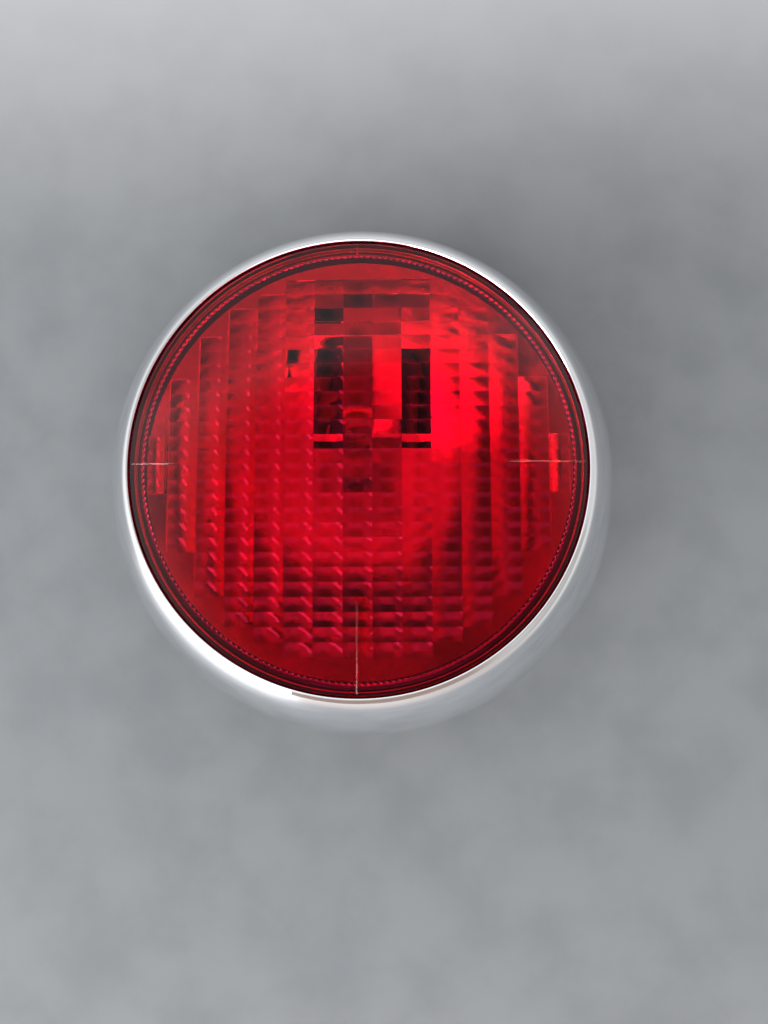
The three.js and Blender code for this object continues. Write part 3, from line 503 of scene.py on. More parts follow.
def painted_steel():
    black = (0.018, 0.019, 0.021)
    finish = Finish("housing_paint", black, roughness=0.35, coat_weight=0.4, coat_roughness=0.2)
    finish.rough(finish.noise(7, 6), 0.26, 0.55)
    finish.bump(finish.noise(0.9, 5), 0.02, 0.5)
    worn = finish.product(finish.edges(), finish.ranged(finish.noise(2.5, 6), 0.45, 0.6))
    finish.tint(worn, (0.28, 0.27, 0.26))
    finish.tint(finish.ranged(finish.noise(16, 6), 0.58, 0.8, 0, 0.35), (0.09, 0.085, 0.08))
    return finish.material


def rubber(name, gray, grain):
    finish = Finish(name, (gray, gray, gray * 1.05), roughness=0.75, specular_ior_level=0.3)
    finish.rough(finish.noise(3, 6), 0.6, 0.92)
    finish.bump(finish.noise(grain, 6), 0.04, 0.7)
    finish.tint(finish.ranged(finish.noise(12, 6), 0.5, 0.78, 0, 0.5), (gray * 3.2, gray * 3.1, gray * 2.9))
    return finish.material


def metal(name, color, roughness, stain, lines):
    """Plain or plated metal with fine drawn lines, dull patches and stains."""
    finish = Finish(name, color, metallic=1.0, roughness=roughness)
    finish.rough(finish.noise(2.5, 6), roughness * 0.7, roughness * 1.5)
    finish.bump(finish.scratches(1.4, lines, 25), 0.006, 0.6)
    finish.bump(finish.noise(0.7, 4), 0.006, 0.5)
    finish.tint(finish.ranged(finish.noise(4, 6), 0.55, 0.75, 0, 0.6), stain)
    return finish.material


def plastic(name, color, roughness, mottle):
    """Moulded plastic, phenolic or sleeve with a fine grain and slow colour change."""
    finish = Finish(name, color, roughness=roughness)
    finish.rough(finish.noise(2, 6), roughness * 0.75, min(1, roughness * 1.35))
    finish.bump(finish.noise(0.5, 5), 0.015, 0.6)
    finish.tint(finish.ranged(finish.noise(3, 6), 0.45, 0.7, 0, 0.7), mottle)
    return finish.material


def clear(name, color, ior, grain):
    finish = Finish(name, color, transmission_weight=1.0, roughness=0.01, ior=ior)
    dusty = tuple(c * 0.93 for c in color)
    finish.tint(finish.ranged(finish.noise(5, 5), 0.5, 0.75, 0, 0.6), dusty)
    finish.bump(finish.noise(grain, 3), 0.01, 0.3)
    return finish.material


METALS = {  # colour, roughness, stain and the turn of the drawn lines in degrees
    "zinc_steel": ((0.62, 0.6, 0.52), 0.28, (0.4, 0.37, 0.28), 0),
    "rivet_steel": ((0.58, 0.57, 0.56), 0.32, (0.3, 0.26, 0.22), 0),
    "screw_steel": ((0.66, 0.65, 0.58), 0.25, (0.38, 0.33, 0.24), 90),
    "brass": ((0.72, 0.5, 0.2), 0.24, (0.3, 0.19, 0.08), 0),
    "socket_nickel": ((0.68, 0.65, 0.58), 0.2, (0.42, 0.36, 0.26), 90),
    "spring_steel": ((0.5, 0.5, 0.52), 0.3, (0.25, 0.2, 0.17), 0),
    "bulb_brass": ((0.75, 0.56, 0.27), 0.22, (0.4, 0.27, 0.12), 0),
    "solder": ((0.58, 0.58, 0.57), 0.4, (0.34, 0.33, 0.31), 0),
    "tungsten": ((0.3, 0.3, 0.31), 0.35, (0.16, 0.15, 0.15), 0),
}
PLASTICS = {  # colour, roughness and mottle
    "phenolic": ((0.1, 0.042, 0.022), 0.45, (0.05, 0.02, 0.012)),
    "lead_grey": ((0.2, 0.21, 0.22), 0.42, (0.14, 0.145, 0.15)),
    "lead_red": ((0.42, 0.025, 0.015), 0.42, (0.28, 0.018, 0.012)),
    "lead_brown": ((0.09, 0.038, 0.018), 0.42, (0.055, 0.022, 0.012)),
    "black_glass": ((0.006, 0.006, 0.008), 0.12, (0.02, 0.02, 0.024)),
}
CLEARS = {  # colour, refractive index and the size of the surface's waves
    "window_plastic": ((0.95, 0.97, 0.97), 1.49, 2.0),
    "bulb_glass": ((0.97, 0.98, 0.98), 1.5, 4.0),
}
RUBBERS = {  # grey and grain size
    "seal_rubber": (0.014, 0.8),
    "pad_rubber": (0.022, 1.3),
    "grommet_rubber": (0.017, 1.0),
}

finishes = {
    "rim_chrome": chrome(),
    "lens_red": red_lens(),
    "reflector_bright": reflector_metal(),
    "housing_paint": painted_steel(),
}
for make, looks in ((metal, METALS), (plastic, PLASTICS), (clear, CLEARS), (rubber, RUBBERS)):
    finishes.update({name: make(name, *look) for name, look in looks.items()})

slots = {part["node"]: part["material_slot"] for part in frame["record"]["subparts"]}
bodies = {node: body for body, nodes in frame["record"]["behaviour"]["bodies"].items() for node in nodes}


def install(obj, node):
    """Gives a piece its finish and puts it in the place of its CAD node."""
    obj.name = obj.data.name = "visual_" + node
    obj.data.materials.clear()
    obj.data.materials.append(finishes[slots[node]])
    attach(obj, bodies[node])
    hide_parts(node)
    return obj


# ------------------------------ rim and lens


def rim_side(inset, steps=36):
    """The rim's section from lip to skirt: its outside, or its inside one sheet in."""
    lip, rear = Vector((LIP_R, LIP_Z)), Vector((RIM_R, RIM_REAR_Z))
    to_lip = Vector((math.cos(LIP_SLOPE), -math.sin(LIP_SLOPE))) * LIP_HANDLE
    to_rear = Vector((-math.cos(SKIRT_SLOPE), math.sin(SKIRT_SLOPE))) * SKIRT_HANDLE
    curve = bezier(lip, lip + to_lip, rear + to_rear, rear, steps)
    return [(p.x + inset * t.y, p.y - inset * t.x) for p, t in curve]


def make_rim():
    hem = arc(RIM_R - HEM_R, RIM_REAR_Z - HEM_DROP, HEM_R, 0, -180, 10)
    lip = [(LIP_R + r, LIP_Z + z) for r, z in LIP_TURN]
    inner = [(r, z) for r, z in rim_side(RIM_SHEET) if r > LIP_R + 0.3]
    outline = rim_side(0)[1:] + hem + list(reversed(inner)) + lip
    return install(lathe("rim", outline, 256, smooth=40), "bezel_rim")


def outer_face_z(r):
    return LENS_CROWN_Z - LENS_SPHERE_R + math.sqrt(LENS_SPHERE_R**2 - r * r)


def inner_face_z(r):
    radius = LENS_SPHERE_R - LENS_THICKNESS
    return LENS_CROWN_Z - LENS_SPHERE_R + math.sqrt(radius**2 - r * r)


def column_edges(column):
    edge = min((abs(column) + 0.5) * COLUMN_PITCH, OUTER_COLUMN_EDGE)
    near = (abs(column) - 0.5) * COLUMN_PITCH
    return (near, edge) if column > 0 else (-edge, -near)


def rows_in(column):
    """How many whole rows fit above the middle in a column."""
    reach = max(abs(edge) for edge in column_edges(column))
    return min(MOST_ROWS, int(math.sqrt(PRISM_R**2 - reach**2) / ROW_PITCH))


def prism_depth(column, row, x, y):
    """How far a prism stands in from the lens's inner face. Row 0 is the first above the middle."""
    low, high = column_edges(column)
    u = (x - low) / (high - low) - 0.5
    v = y / ROW_PITCH - row - 0.5
    crown = COLUMN_CROWN * (1 - 4 * u * u) + ROW_CROWN * (1 - 4 * v * v)
    return PRISM_HEIGHT + PRISM_TILT * column * u + ROW_TILT * v + crown


class Surface:
    """Points and faces of one mesh, with points shared where they coincide."""

    def __init__(self):
        self.points, self.faces, self.index = [], [], {}

    def point(self, x, y, z):
        key = (round(x, 4), round(y, 4), round(z, 4))
        if key not in self.index:
            self.index[key] = len(self.points)
            self.points.append((x, y, z))
        return self.index[key]

    def face(self, corners):
        found = list(dict.fromkeys(corners))
        if len(found) > 2:
            self.faces.append(found)


def add_prisms(surface):
    """The columns of small pillows, each its own patch, with steps to its neighbours."""

    def top(column, row, x, y):
        return surface.point(x, y, inner_face_z(math.hypot(x, y)) - prism_depth(column, row, x, y))

    def bottom(x, y):
        return surface.point(x, y, inner_face_z(math.hypot(x, y)))

    def even(start, end, steps):
        values = [start + (end - start) * i / steps for i in range(steps + 1)]
        return list(zip(values, values[1:]))

    for column in range(-OUTER_COLUMN, OUTER_COLUMN + 1):
        low, high = column_edges(column)
        half = rows_in(column)
        for row in range(-half, half):
            y_low, y_high = row * ROW_PITCH, (row + 1) * ROW_PITCH
            for x0, x1 in even(low, high, ACROSS):
                for y0, y1 in even(y_low, y_high, ALONG):
                    corners = [(x0, y0), (x1, y0), (x1, y1), (x0, y1)]
                    surface.face([top(column, row, x, y) for x, y in corners])
                if row == -half:
                    edge = [top(column, row, x0, y_low), top(column, row, x1, y_low)]
                    surface.face([*edge, bottom(x1, y_low), bottom(x0, y_low)])
                if row == half - 1:
                    wall = [bottom(x0, y_high), bottom(x1, y_high)]
                else:
                    wall = [top(column, row + 1, x0, y_high), top(column, row + 1, x1, y_high)]
                surface.face([top(column, row, x1, y_high), top(column, row, x0, y_high), *wall])
            for x, other in ((low, column - 1), (high, column + 1)):
                shared = abs(other) <= OUTER_COLUMN and -rows_in(other) <= row < rows_in(other)
                if shared and other < column:
                    continue
                for y0, y1 in even(y_low, y_high, ALONG):
                    if shared:
                        far = [top(other, row, x, y1), top(other, row, x, y0)]
                    else:
                        far = [bottom(x, y1), bottom(x, y0)]
                    surface.face([top(column, row, x, y0), top(column, row, x, y1), *far])


def stair_outline():
    """The outline of the prism field, with a point at each of its mesh's edge points."""
    right = []
    for column in range(0, OUTER_COLUMN + 1):
        low, high = column_edges(column)
        low = max(low, 0)
        top = rows_in(column) * ROW_PITCH
        steps = ACROSS if column else ACROSS // 2
        right += [(low + (high - low) * i / steps, top) for i in range(steps + 1)]
        below = rows_in(column + 1) if column < OUTER_COLUMN else 0
        count = (rows_in(column) - below) * ALONG
        right += [(high, top - (top - below * ROW_PITCH) * k / count) for k in range(1, count + 1)]
    quarter = list(dict.fromkeys((round(x, 5), round(y, 5)) for x, y in right))
    lower = [(x, -y) for x, y in reversed(quarter) if y > 0]
    half = quarter + lower
    return half + [(-x, y) for x, y in reversed(half) if x > 0]


def add_plain_zone(surface, circle):
    """The smooth inner face between the prism field's stepped outline and a circle."""
    stairs = stair_outline()
    points = [Vector(p) for p in stairs + circle]
    loops = [range(len(stairs)), range(len(stairs), len(points))]
    edges = [(loop[i], loop[(i + 1) % len(loop)]) for loop in loops for i in range(len(loop))]
    verts, _, faces, *_ = geometry.delaunay_2d_cdt(points, edges, [], 1, 1e-5)
    polygon = [Vector(p) for p in stairs]
    for corners in faces:
        middle = sum((verts[i] for i in corners), Vector((0, 0))) / len(corners)
        if middle.length > KNURL_IN_R or inside(polygon, middle):
            continue
        flat = [verts[i] for i in corners]
        surface.face([surface.point(p.x, p.y, inner_face_z(p.length)) for p in flat])


def inside(polygon, point):
    """Whether a point is inside a polygon, by counting crossings of a ray along +X."""
    crossings = 0
    for a, b in zip(polygon, polygon[1:] + polygon[:1]):
        if (a.y > point.y) != (b.y > point.y):
            crossings += point.x < a.x + (b.x - a.x) * (point.y - a.y) / (b.y - a.y)
    return crossings % 2 == 1


def add_rings(surface, rings):
    """Bands of faces between rings that have the same number of points."""
    for low, high in zip(rings, rings[1:]):
        for i in range(len(low)):
            j = (i + 1) % len(low)
            surface.face([surface.point(*corner) for corner in (low[i], low[j], high[j], high[i])])


def ring(angles, r, z):
    return [(r * math.cos(a), r * math.sin(a), z) for a in angles]


def make_lens():
    surface = Surface()
    add_prisms(surface)
    angles = [math.pi * i / KNURL_TEETH for i in range(2 * KNURL_TEETH)]
    circle = [(x, y) for x, y, _ in ring(angles, KNURL_IN_R, 0)]
    add_plain_zone(surface, circle)
    knurl = ring(angles, KNURL_MID_R, inner_face_z(KNURL_MID_R))
    for i in range(1, len(knurl), 2):
        x, y, z = knurl[i]
        knurl[i] = (x, y, z - KNURL_DEPTH)
    rings = [ring(angles, KNURL_IN_R, inner_face_z(KNURL_IN_R)), knurl]
    rings.append(ring(angles, KNURL_R, inner_face_z(KNURL_R)))
    flange = [(LENS_INNER_R, FLANGE_Z), (FLANGE_R, FLANGE_Z), (FLANGE_R, FLANGE_TOP_Z)]
    outline = [(LENS_INNER_R, inner_face_z(LENS_INNER_R) - 0.1), *soften(flange, 0.25, False)]
    outline += [(LENS_FACE_R, FLANGE_TOP_Z), (LENS_FACE_R, LENS_EDGE_Z - 0.35)]
    outline += [(LENS_FACE_R - 0.05, LENS_EDGE_Z - 0.12)]
    outline += [(LENS_FACE_R - 0.2, outer_face_z(LENS_FACE_R - 0.2) - 0.01)]
    rings += [ring(angles, r, z) for r, z in outline]
    radii = [LENS_FACE_R - 0.5] + [FACE_RING_R * k / FACE_RINGS for k in range(FACE_RINGS, 0, -1)]
    rings += [ring(angles, r, outer_face_z(r)) for r in radii]
    add_rings(surface, rings)
    top = surface.point(0, 0, LENS_CROWN_Z)
    last = rings[-1]
    for i in range(len(last)):
        surface.face([surface.point(*last[i]), surface.point(*last[(i + 1) % len(last)]), top])
    return install(mesh_object("lens", surface.points, surface.faces, smooth=24), "lens")


def make_mould_line(name, degrees, start):
    """One of the fine raised lines that the mould leaves on the lens's outer face."""
    points, faces = [], []
    steps = 12
    sides = len(MOULD_LINE_SECTION)
    end = LENS_FACE_R - 0.6
    for i in range(steps + 1):
        r = start + (end - start) * i / steps
        z = outer_face_z(r)
        fade = min(1, 3 * i / steps)
        for w, h in MOULD_LINE_SECTION:
            points.append((r, w * MOULD_LINE_HALF, z + h * MOULD_LINE_RISE * fade - 0.01))
    for i in range(steps):
        here, on = sides * i, sides * (i + 1)
        for k in range(sides):
            j = (k + 1) % sides
            faces.append([here + k, here + j, on + j, on + k])
    faces += [list(range(sides)), list(range(sides * steps, sides * (steps + 1)))]
    line = turn_about_z(mesh_object(name, points, faces, smooth=40), degrees)
    line.data.materials.append(finishes["lens_red"])
    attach(line, bodies["lens"])


def make_lug(number, degrees):
    foot = block("lug", *LUG_FOOT)
    carve(foot, [post(LUG_BOSS_R, LUG_FOOT[2][0], LUG_BOSS_TOP_Z, SCREW_CIRCLE_R)], "UNION")
    carve(foot, [post(SCREW_HOLE_R, 28, 35, SCREW_CIRCLE_R)], bevel=0.2)
    return install(turn_about_z(foot, degrees), f"rim_lug_{number}")


def make_rim_screw(number, degrees):
    """A slotted cheese-head screw whose thread is drawn as fine rings."""
    head = [(0, SCREW_HEAD_Z), (SCREW_HEAD_R, SCREW_HEAD_Z), (SCREW_HEAD_R, SCREW_HEAD_TOP_Z)]
    outline = soften(head, 0.45, False) + [(SCREW_R, SCREW_HEAD_TOP_Z)]
    plain, tip, slot_depth, slot_half = 0.8, 0.6, 1.1, 0.5
    turns = int((SCREW_TIP_Z - SCREW_HEAD_TOP_Z - plain - tip) / SCREW_PITCH)
    for i in range(turns):
        z = SCREW_HEAD_TOP_Z + plain + SCREW_PITCH * i
        outline += [(SCREW_R, z), (SCREW_R - SCREW_THREAD, z + SCREW_PITCH / 2)]
    outline += [(SCREW_R, SCREW_TIP_Z - tip), (SCREW_R - tip, SCREW_TIP_Z), (0, SCREW_TIP_Z)]
    screw = lathe("screw", outline, 48, at=(SCREW_CIRCLE_R, 0, 0))
    across = (SCREW_CIRCLE_R - 5, SCREW_CIRCLE_R + 5)
    slot = block("slot", across, (-slot_half, slot_half), (24, SCREW_HEAD_Z + slot_depth))
    carve(screw, [slot], bevel=0.06)
    return install(turn_about_z(screw, degrees), f"rim_screw_{number}")


# ------------------------------ housing and its fittings


def wall_r(z):
    """Radius of the housing wall's outside at a height."""
    return SEAT_R - (SEAT_Z - z) * math.tan(WALL_LEAN)


def in_wall(thickness):
    """Radial width that a thickness takes up in the leaning wall."""
    return thickness / math.cos(WALL_LEAN)


def shell_side(inset):
    centre_z = HOUSING_Z + CORNER_R
    centre_r = wall_r(centre_z) - in_wall(CORNER_R)
    return arc(centre_r, centre_z, CORNER_R - inset, -90, -math.degrees(WALL_LEAN), 10)


def window_hole(y):
    """The box that cuts the number-plate window's hole, from outside the wall in to y."""
    return block("hole", (-WINDOW_HALF, WINDOW_HALF), (-RIM_R, y), (WINDOW_LOW, WINDOW_HIGH))


def make_housing():
    under_seat = SEAT_Z - SHEET
    outline = [(CABLE_HOLE_R, HOUSING_Z), *shell_side(0), (SEAT_R, SEAT_Z), (SEAT_INNER_R, SEAT_Z)]
    outline += [(SEAT_INNER_R, under_seat), (wall_r(under_seat) - in_wall(SHEET), under_seat)]
    outline += [*reversed(shell_side(SHEET)), (CABLE_HOLE_R, FLOOR_Z)]
    housing = lathe("housing", soften(outline, 0.25), ROUND)
    tools = [post(BOLT_HOLE_R, *FLOOR_CUT, side * BOLT_X) for side in (-1, 1)]
    tools += [post(RIVET_HOLE_R, *FLOOR_CUT, side * RIVET_X, RIVET_Y) for side in (-1, 1)]
    tools.append(window_hole(WALL_CUT_Y))
    tools.append(axle(DRAIN_R, -RIM_R, WALL_CUT_Y, 0, DRAIN_Z))
    return install(carve(housing, tools), "housing")


def make_carrier_ring():
    inner = wall_r(COLLAR_TOP_Z) + FIT
    outline = [(inner, CARRIER_Z), (CARRIER_R, CARRIER_Z), (CARRIER_R, CARRIER_TOP_Z)]
    outline += [(inner + SHEET, CARRIER_TOP_Z), (inner + SHEET, COLLAR_TOP_Z), (inner, COLLAR_TOP_Z)]
    ring_piece = lathe("carrier", soften(outline, 0.3))
    tools = []
    for degrees in SCREW_ANGLES:
        angle = math.radians(degrees)
        x, y = SCREW_CIRCLE_R * math.cos(angle), SCREW_CIRCLE_R * math.sin(angle)
        tools.append(post(SCREW_HOLE_R, *CARRIER_CUT, x, y))
    return install(carve(ring_piece, tools), "carrier_ring")


def make_base_pad():
    """The rubber pad, with moulded ribs on the face that lies on the motorcycle and a groove round it."""
    outline = [(PAD_HOLE_R, 0)]
    pitch = (PAD_R - PAD_MARGIN - PAD_HOLE_R - PAD_MARGIN) / PAD_RIBS
    for i in range(PAD_RIBS):
        start = PAD_HOLE_R + PAD_MARGIN + pitch * i
        outline += [(start + along, depth) for along, depth in PAD_GROOVE]
    outline += [(PAD_R, 0), (PAD_R, 1.6), (PAD_R - 0.5, 2.0), (PAD_R, 2.4)]
    outline += [(PAD_R, PAD_THICKNESS), (PAD_HOLE_R, PAD_THICKNESS)]
    pad = lathe("pad", soften(outline, 0.4, steps=2))
    tools = [post(BOLT_HOLE_R + 0.2, -1, 5, side * BOLT_X) for side in (-1, 1)]
    return install(carve(pad, tools), "base_pad")


def make_grommet():
    bore, flange, groove = GROMMET_BORE_R, GROMMET_FLANGE_R, CABLE_HOLE_R - FIT
    top = ON_FLOOR_Z + GROMMET_LIP
    outline = [(bore, GROMMET_REAR_Z), (flange - 2, GROMMET_REAR_Z), (flange, 3.2), (flange, PAD_THICKNESS)]
    outline += [(groove, PAD_THICKNESS), (groove, ON_FLOOR_Z), (flange, ON_FLOOR_Z), (flange - 1.2, top)]
    outline += [(bore, top), (bore + 0.35, 4.4), (bore, PAD_THICKNESS)]
    return install(lathe("grommet", soften(outline, 0.4), SMALL), "cable_grommet")


def make_mount_nut(name, side):
    """A welded hexagon nut with chamfered corners and a thread drawn as rings."""
    corner, low, top = NUT_CORNER_R, ON_FLOOR_Z, ON_FLOOR_Z + NUT_HEIGHT
    at = (side * BOLT_X, 0, 0)
    nut = lathe("nut", [(0, low), (corner, low), (corner, top), (0, top)], 6, at=at)
    cone = [(0, low - 0.01), (corner, low - 0.01), (corner, top - 0.5)]
    cone += [(corner - 0.9, top + 0.01), (0, top + 0.01)]
    carve(nut, [lathe("cone", cone, 48, at=at)], "INTERSECT")
    mouth = NUT_BORE_R + 0.5
    thread = [(0, low - 1), (mouth, low - 1), (mouth, low)]
    for i in range(NUT_THREADS):
        z = low + 0.1 + NUT_PITCH * i
        thread += [(NUT_BORE_R, z), (NUT_BORE_R + 0.4, z + NUT_PITCH / 2)]
    thread += [(mouth, top), (mouth, top + 1), (0, top + 1)]
    carve(nut, [lathe("thread", thread, TINY, at=at)])
    return install(nut, name)


def wall_patch(name, outer, inner, margin):
    """The part of a layer under the housing's wall that lies inside the window's outline."""
    z0, z1 = WINDOW_LOW - margin, WINDOW_HIGH + margin
    outline = [(wall_r(z0) - in_wall(inner), z0), (wall_r(z0) - in_wall(outer), z0)]
    outline += [(wall_r(z1) - in_wall(outer), z1), (wall_r(z1) - in_wall(inner), z1)]
    layer = lathe(name, outline, ROUND)
    half = WINDOW_HALF + margin
    return carve(layer, [block("part", (-half, half), (-RIM_R, WALL_PATCH_Y), (z0, z1))], "INTERSECT")


def make_window():
    seal = SHEET + FIT
    plate = seal + SEAL_THICKNESS + FIT
    pane = wall_patch("pane", plate, plate + WINDOW_THICKNESS, WINDOW_RIM)
    boss = wall_patch("boss", 0, plate + WINDOW_THICKNESS / 2, -2 * FIT)
    install(carve(pane, [boss], "UNION", bevel=0.2), "plate_window")
    gasket = wall_patch("seal", seal, seal + SEAL_THICKNESS, WINDOW_RIM)
    install(carve(gasket, [window_hole(WALL_PATCH_Y)], bevel=0.15), "window_seal")


def make_reflector():
    """A parabola of revolution with openings for the bulb, the bracket and the socket's shell."""

    def height(r):
        return REFLECTOR_VERTEX_Z + r * r / (4 * FOCAL_LENGTH)

    def radius(z):
        return math.sqrt(4 * FOCAL_LENGTH * (z - REFLECTOR_VERTEX_Z))

    def behind(r):
        slope = r / (2 * FOCAL_LENGTH)
        normal = REFLECTOR_SHEET / math.hypot(1, slope)
        return (r + slope * normal, height(r) - normal)

    steps = 64
    front_r, back_r = radius(REFLECTOR_TOP_Z), radius(REFLECTOR_FLANGE_Z)
    front = [(front_r * i / steps, height(front_r * i / steps)) for i in range(steps + 1)]
    back = [behind(back_r * i / steps) for i in range(steps, -1, -1)]
    flange = [(SEAT_R, REFLECTOR_TOP_Z), (SEAT_R, REFLECTOR_FLANGE_Z)]
    flange.append((front_r + REFLECTOR_SHEET, REFLECTOR_FLANGE_Z))
    bowl = lathe("reflector", front + flange + back, ROUND)
    openings = [block("opening", xs, ys, (0, LIP_Z)) for xs, ys in REFLECTOR_OPENINGS]
    return install(carve(bowl, openings), "reflector")


def make_gasket():
    outline = [(GASKET_INNER_R, GASKET_Z), (SEAT_R, GASKET_Z)]
    outline += [(SEAT_R, GASKET_TOP_Z), (GASKET_INNER_R, GASKET_TOP_Z)]
    return install(lathe("gasket", soften(outline, 0.5)), "lens_gasket")


# ------------------------------ socket, bracket and wiring


def make_bracket():
    """The bent angle bracket, with its inside and outside bend radii."""
    far, foot_top = ARM_Y + SHEET, ON_FLOOR_Z + SHEET
    profile = [(BRACKET_FOOT_Y, ON_FLOOR_Z)]
    profile += arc(far - BEND_OUT_R, ON_FLOOR_Z + BEND_OUT_R, BEND_OUT_R, -90, 0, 6)
    profile += [(far, BRACKET_TOP_Z), (ARM_Y, BRACKET_TOP_Z)]
    profile += arc(ARM_Y - BEND_IN_R, foot_top + BEND_IN_R, BEND_IN_R, 0, -90, 4)
    profile.append((BRACKET_FOOT_Y, foot_top))
    count = len(profile)
    points = [(x, y, z) for x in (-BRACKET_HALF, BRACKET_HALF) for y, z in profile]
    faces = [list(range(count)), list(range(count, 2 * count))]
    faces += [[i, (i + 1) % count, count + (i + 1) % count, count + i] for i in range(count)]
    bracket = mesh_object("bracket", points, faces)
    tools = [axle(SHELL_R + FIT, ARM_Y - 1, far + 1, 0, BULB_Z, SMALL)]
    tools += [post(RIVET_HOLE_R, ON_FLOOR_Z - 1, foot_top + 1, side * RIVET_X, RIVET_Y) for side in (-1, 1)]
    return install(carve(bracket, tools, bevel=0.12), "socket_bracket")


def make_bracket_rivet(name, side):
    low, head = HOUSING_Z + 0.1, ON_FLOOR_Z + SHEET + FIT
    outline = [(0, low), (RIVET_SHANK_R, low), (RIVET_SHANK_R, head)]
    outline += [(r, head + z) for r, z in RIVET_HEAD]
    at = (side * RIVET_X, RIVET_Y, 0)
    return install(lathe("rivet", soften(outline, 0.12, False), TINY, at=at, smooth=45), name)


def bayonet_tools(pin_y, degrees):
    """The boxes that cut one bayonet slot: the pin's locked place, the turn, and the way in."""
    near, far = pin_y - SLOT_HALF, pin_y + CONTACT_TRAVEL + SLOT_HALF
    tools = []
    for start, swing in ((near, 0), (near, 10), (SHELL_Y - 1, 20)):
        tool = block("slot", (SHELL_R - 2, SHELL_R + 1), (start, far), (-SLOT_HALF, SLOT_HALF))
        tool.data.transform(turn(0, math.radians(degrees) + math.radians(swing), 0))
        tool.data.transform(shift(0, 0, BULB_Z))
        tools.append(tool)
    return tools


def make_socket():
    axis = (0, 0, BULB_Z)
    outline = [(SHELL_IN_R, SHELL_Y), (SHELL_R, SHELL_Y), (SHELL_R, SHELL_COLLAR_Y)]
    outline += [(SHELL_COLLAR_R, SHELL_COLLAR_Y), (SHELL_COLLAR_R, SHELL_COLLAR_END_Y)]
    outline += [(SHELL_R, SHELL_COLLAR_END_Y), (SHELL_R, SHELL_END_Y), (SHELL_IN_R, SHELL_END_Y)]
    shell = lathe("shell", soften(outline, 0.25), 96, "y", axis)
    tools = [tool for place, degrees in PINS for tool in bayonet_tools(place + GLOBE_Y, degrees)]
    install(carve(shell, tools), "socket_shell")

    disc_end = DISC_Y + DISC_THICKNESS
    layers = [
        ("socket_cap", CAP_Y, SHELL_END_Y, 0.25, LEAD_R + FIT, SHELL_END_Y + 1),
        ("contact_disc", DISC_Y, disc_end, 0.2, 1.4, DISC_Y + 3),
    ]
    for node, y0, y1, rounding, hole_r, hole_end in layers:
        outline = [(0, y0), (SHELL_IN_R - FIT, y0), (SHELL_IN_R - FIT, y1), (0, y1)]
        layer = lathe(node, soften(outline, rounding, False), SMALL, "y", axis)
        holes = [axle(hole_r, y0 - 1, hole_end, side * CONTACT_X, BULB_Z) for side in (-1, 1)]
        install(carve(layer, holes), node)

    rivet = [(0, DISC_Y - 0.6), (1.5, DISC_Y - 0.58), (1.9, DISC_Y - 0.35), (1.9, DISC_Y - 0.2)]
    rivet += [(1.1, DISC_Y - 0.2), (1.1, disc_end + 0.9), (0, disc_end + 0.9)]
    for name, side in (("contact_rivet_tail", -1), ("contact_rivet_brake", 1)):
        install(lathe("rivet", soften(rivet, 0.1, False), TINY, "y", (side * CONTACT_X, 0, BULB_Z)), name)

    start, end = disc_end + FIT + SPRING_WIRE_R, CAP_Y - FIT - SPRING_WIRE_R
    coil = helix(SPRING_R, SPRING_TURNS, start, end, 32, lambda x, z, y: (x, y, BULB_Z + z))
    spring = install(sweep("spring", coil, SPRING_WIRE_R, 12), "contact_spring")
    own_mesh(spring)


def make_terminal_block():
    body = block("terminals", (-BLOCK_HALF, BLOCK_HALF), (BLOCK_Y0, BLOCK_Y1), (ON_FLOOR_Z, BLOCK_TOP_Z))
    middle = (BLOCK_Y0 + BLOCK_Y1) / 2
    above = BLOCK_TOP_Z + 1
    terminals = {"tail": -TERMINAL_X, "earth": 0, "brake": TERMINAL_X}
    tools = []
    for x in terminals.values():
        tools.append(axle(LEAD_R + FIT, BLOCK_Y1 - 4, BLOCK_Y1 + 1, x, TERMINAL_Z))
        tools.append(axle(LEAD_R + FIT, BLOCK_Y0 - 1, BLOCK_Y0 + 3, x, TERMINAL_Z))
        tools.append(post(WELL_R, BLOCK_TOP_Z - WELL_DEPTH, above, x, middle))
        tools.append(post(WELL_BORE_R, BLOCK_TOP_Z - WELL_BORE_DEPTH, above, x, middle))
    for x in (-TERMINAL_X / 2, TERMINAL_X / 2):
        width, length = (x - GROOVE_HALF, x + GROOVE_HALF), (BLOCK_Y0 - 1, BLOCK_Y1 + 1)
        tools.append(block("groove", width, length, (BLOCK_TOP_Z - GROOVE_DEPTH, above)))
    install(carve(body, tools, bevel=0.2), "terminal_block")

    seat, shank_r, head_r = BLOCK_TOP_Z - 2.5, 1.2, 2.5
    tip, top = seat - 2.6, seat + 1.6
    outline = [(0, tip), (shank_r, tip), (shank_r, seat), (head_r, seat), (head_r, top), (0, top)]
    for name, x in terminals.items():
        screw = lathe("screw", soften(outline, 0.25, False), TINY, at=(x, middle, 0))
        slot = block("slot", (x - 4, x + 4), (middle - 0.4, middle + 0.4), (seat + 0.8, seat + 3))
        install(carve(screw, [slot]), f"terminal_screw_{name}")


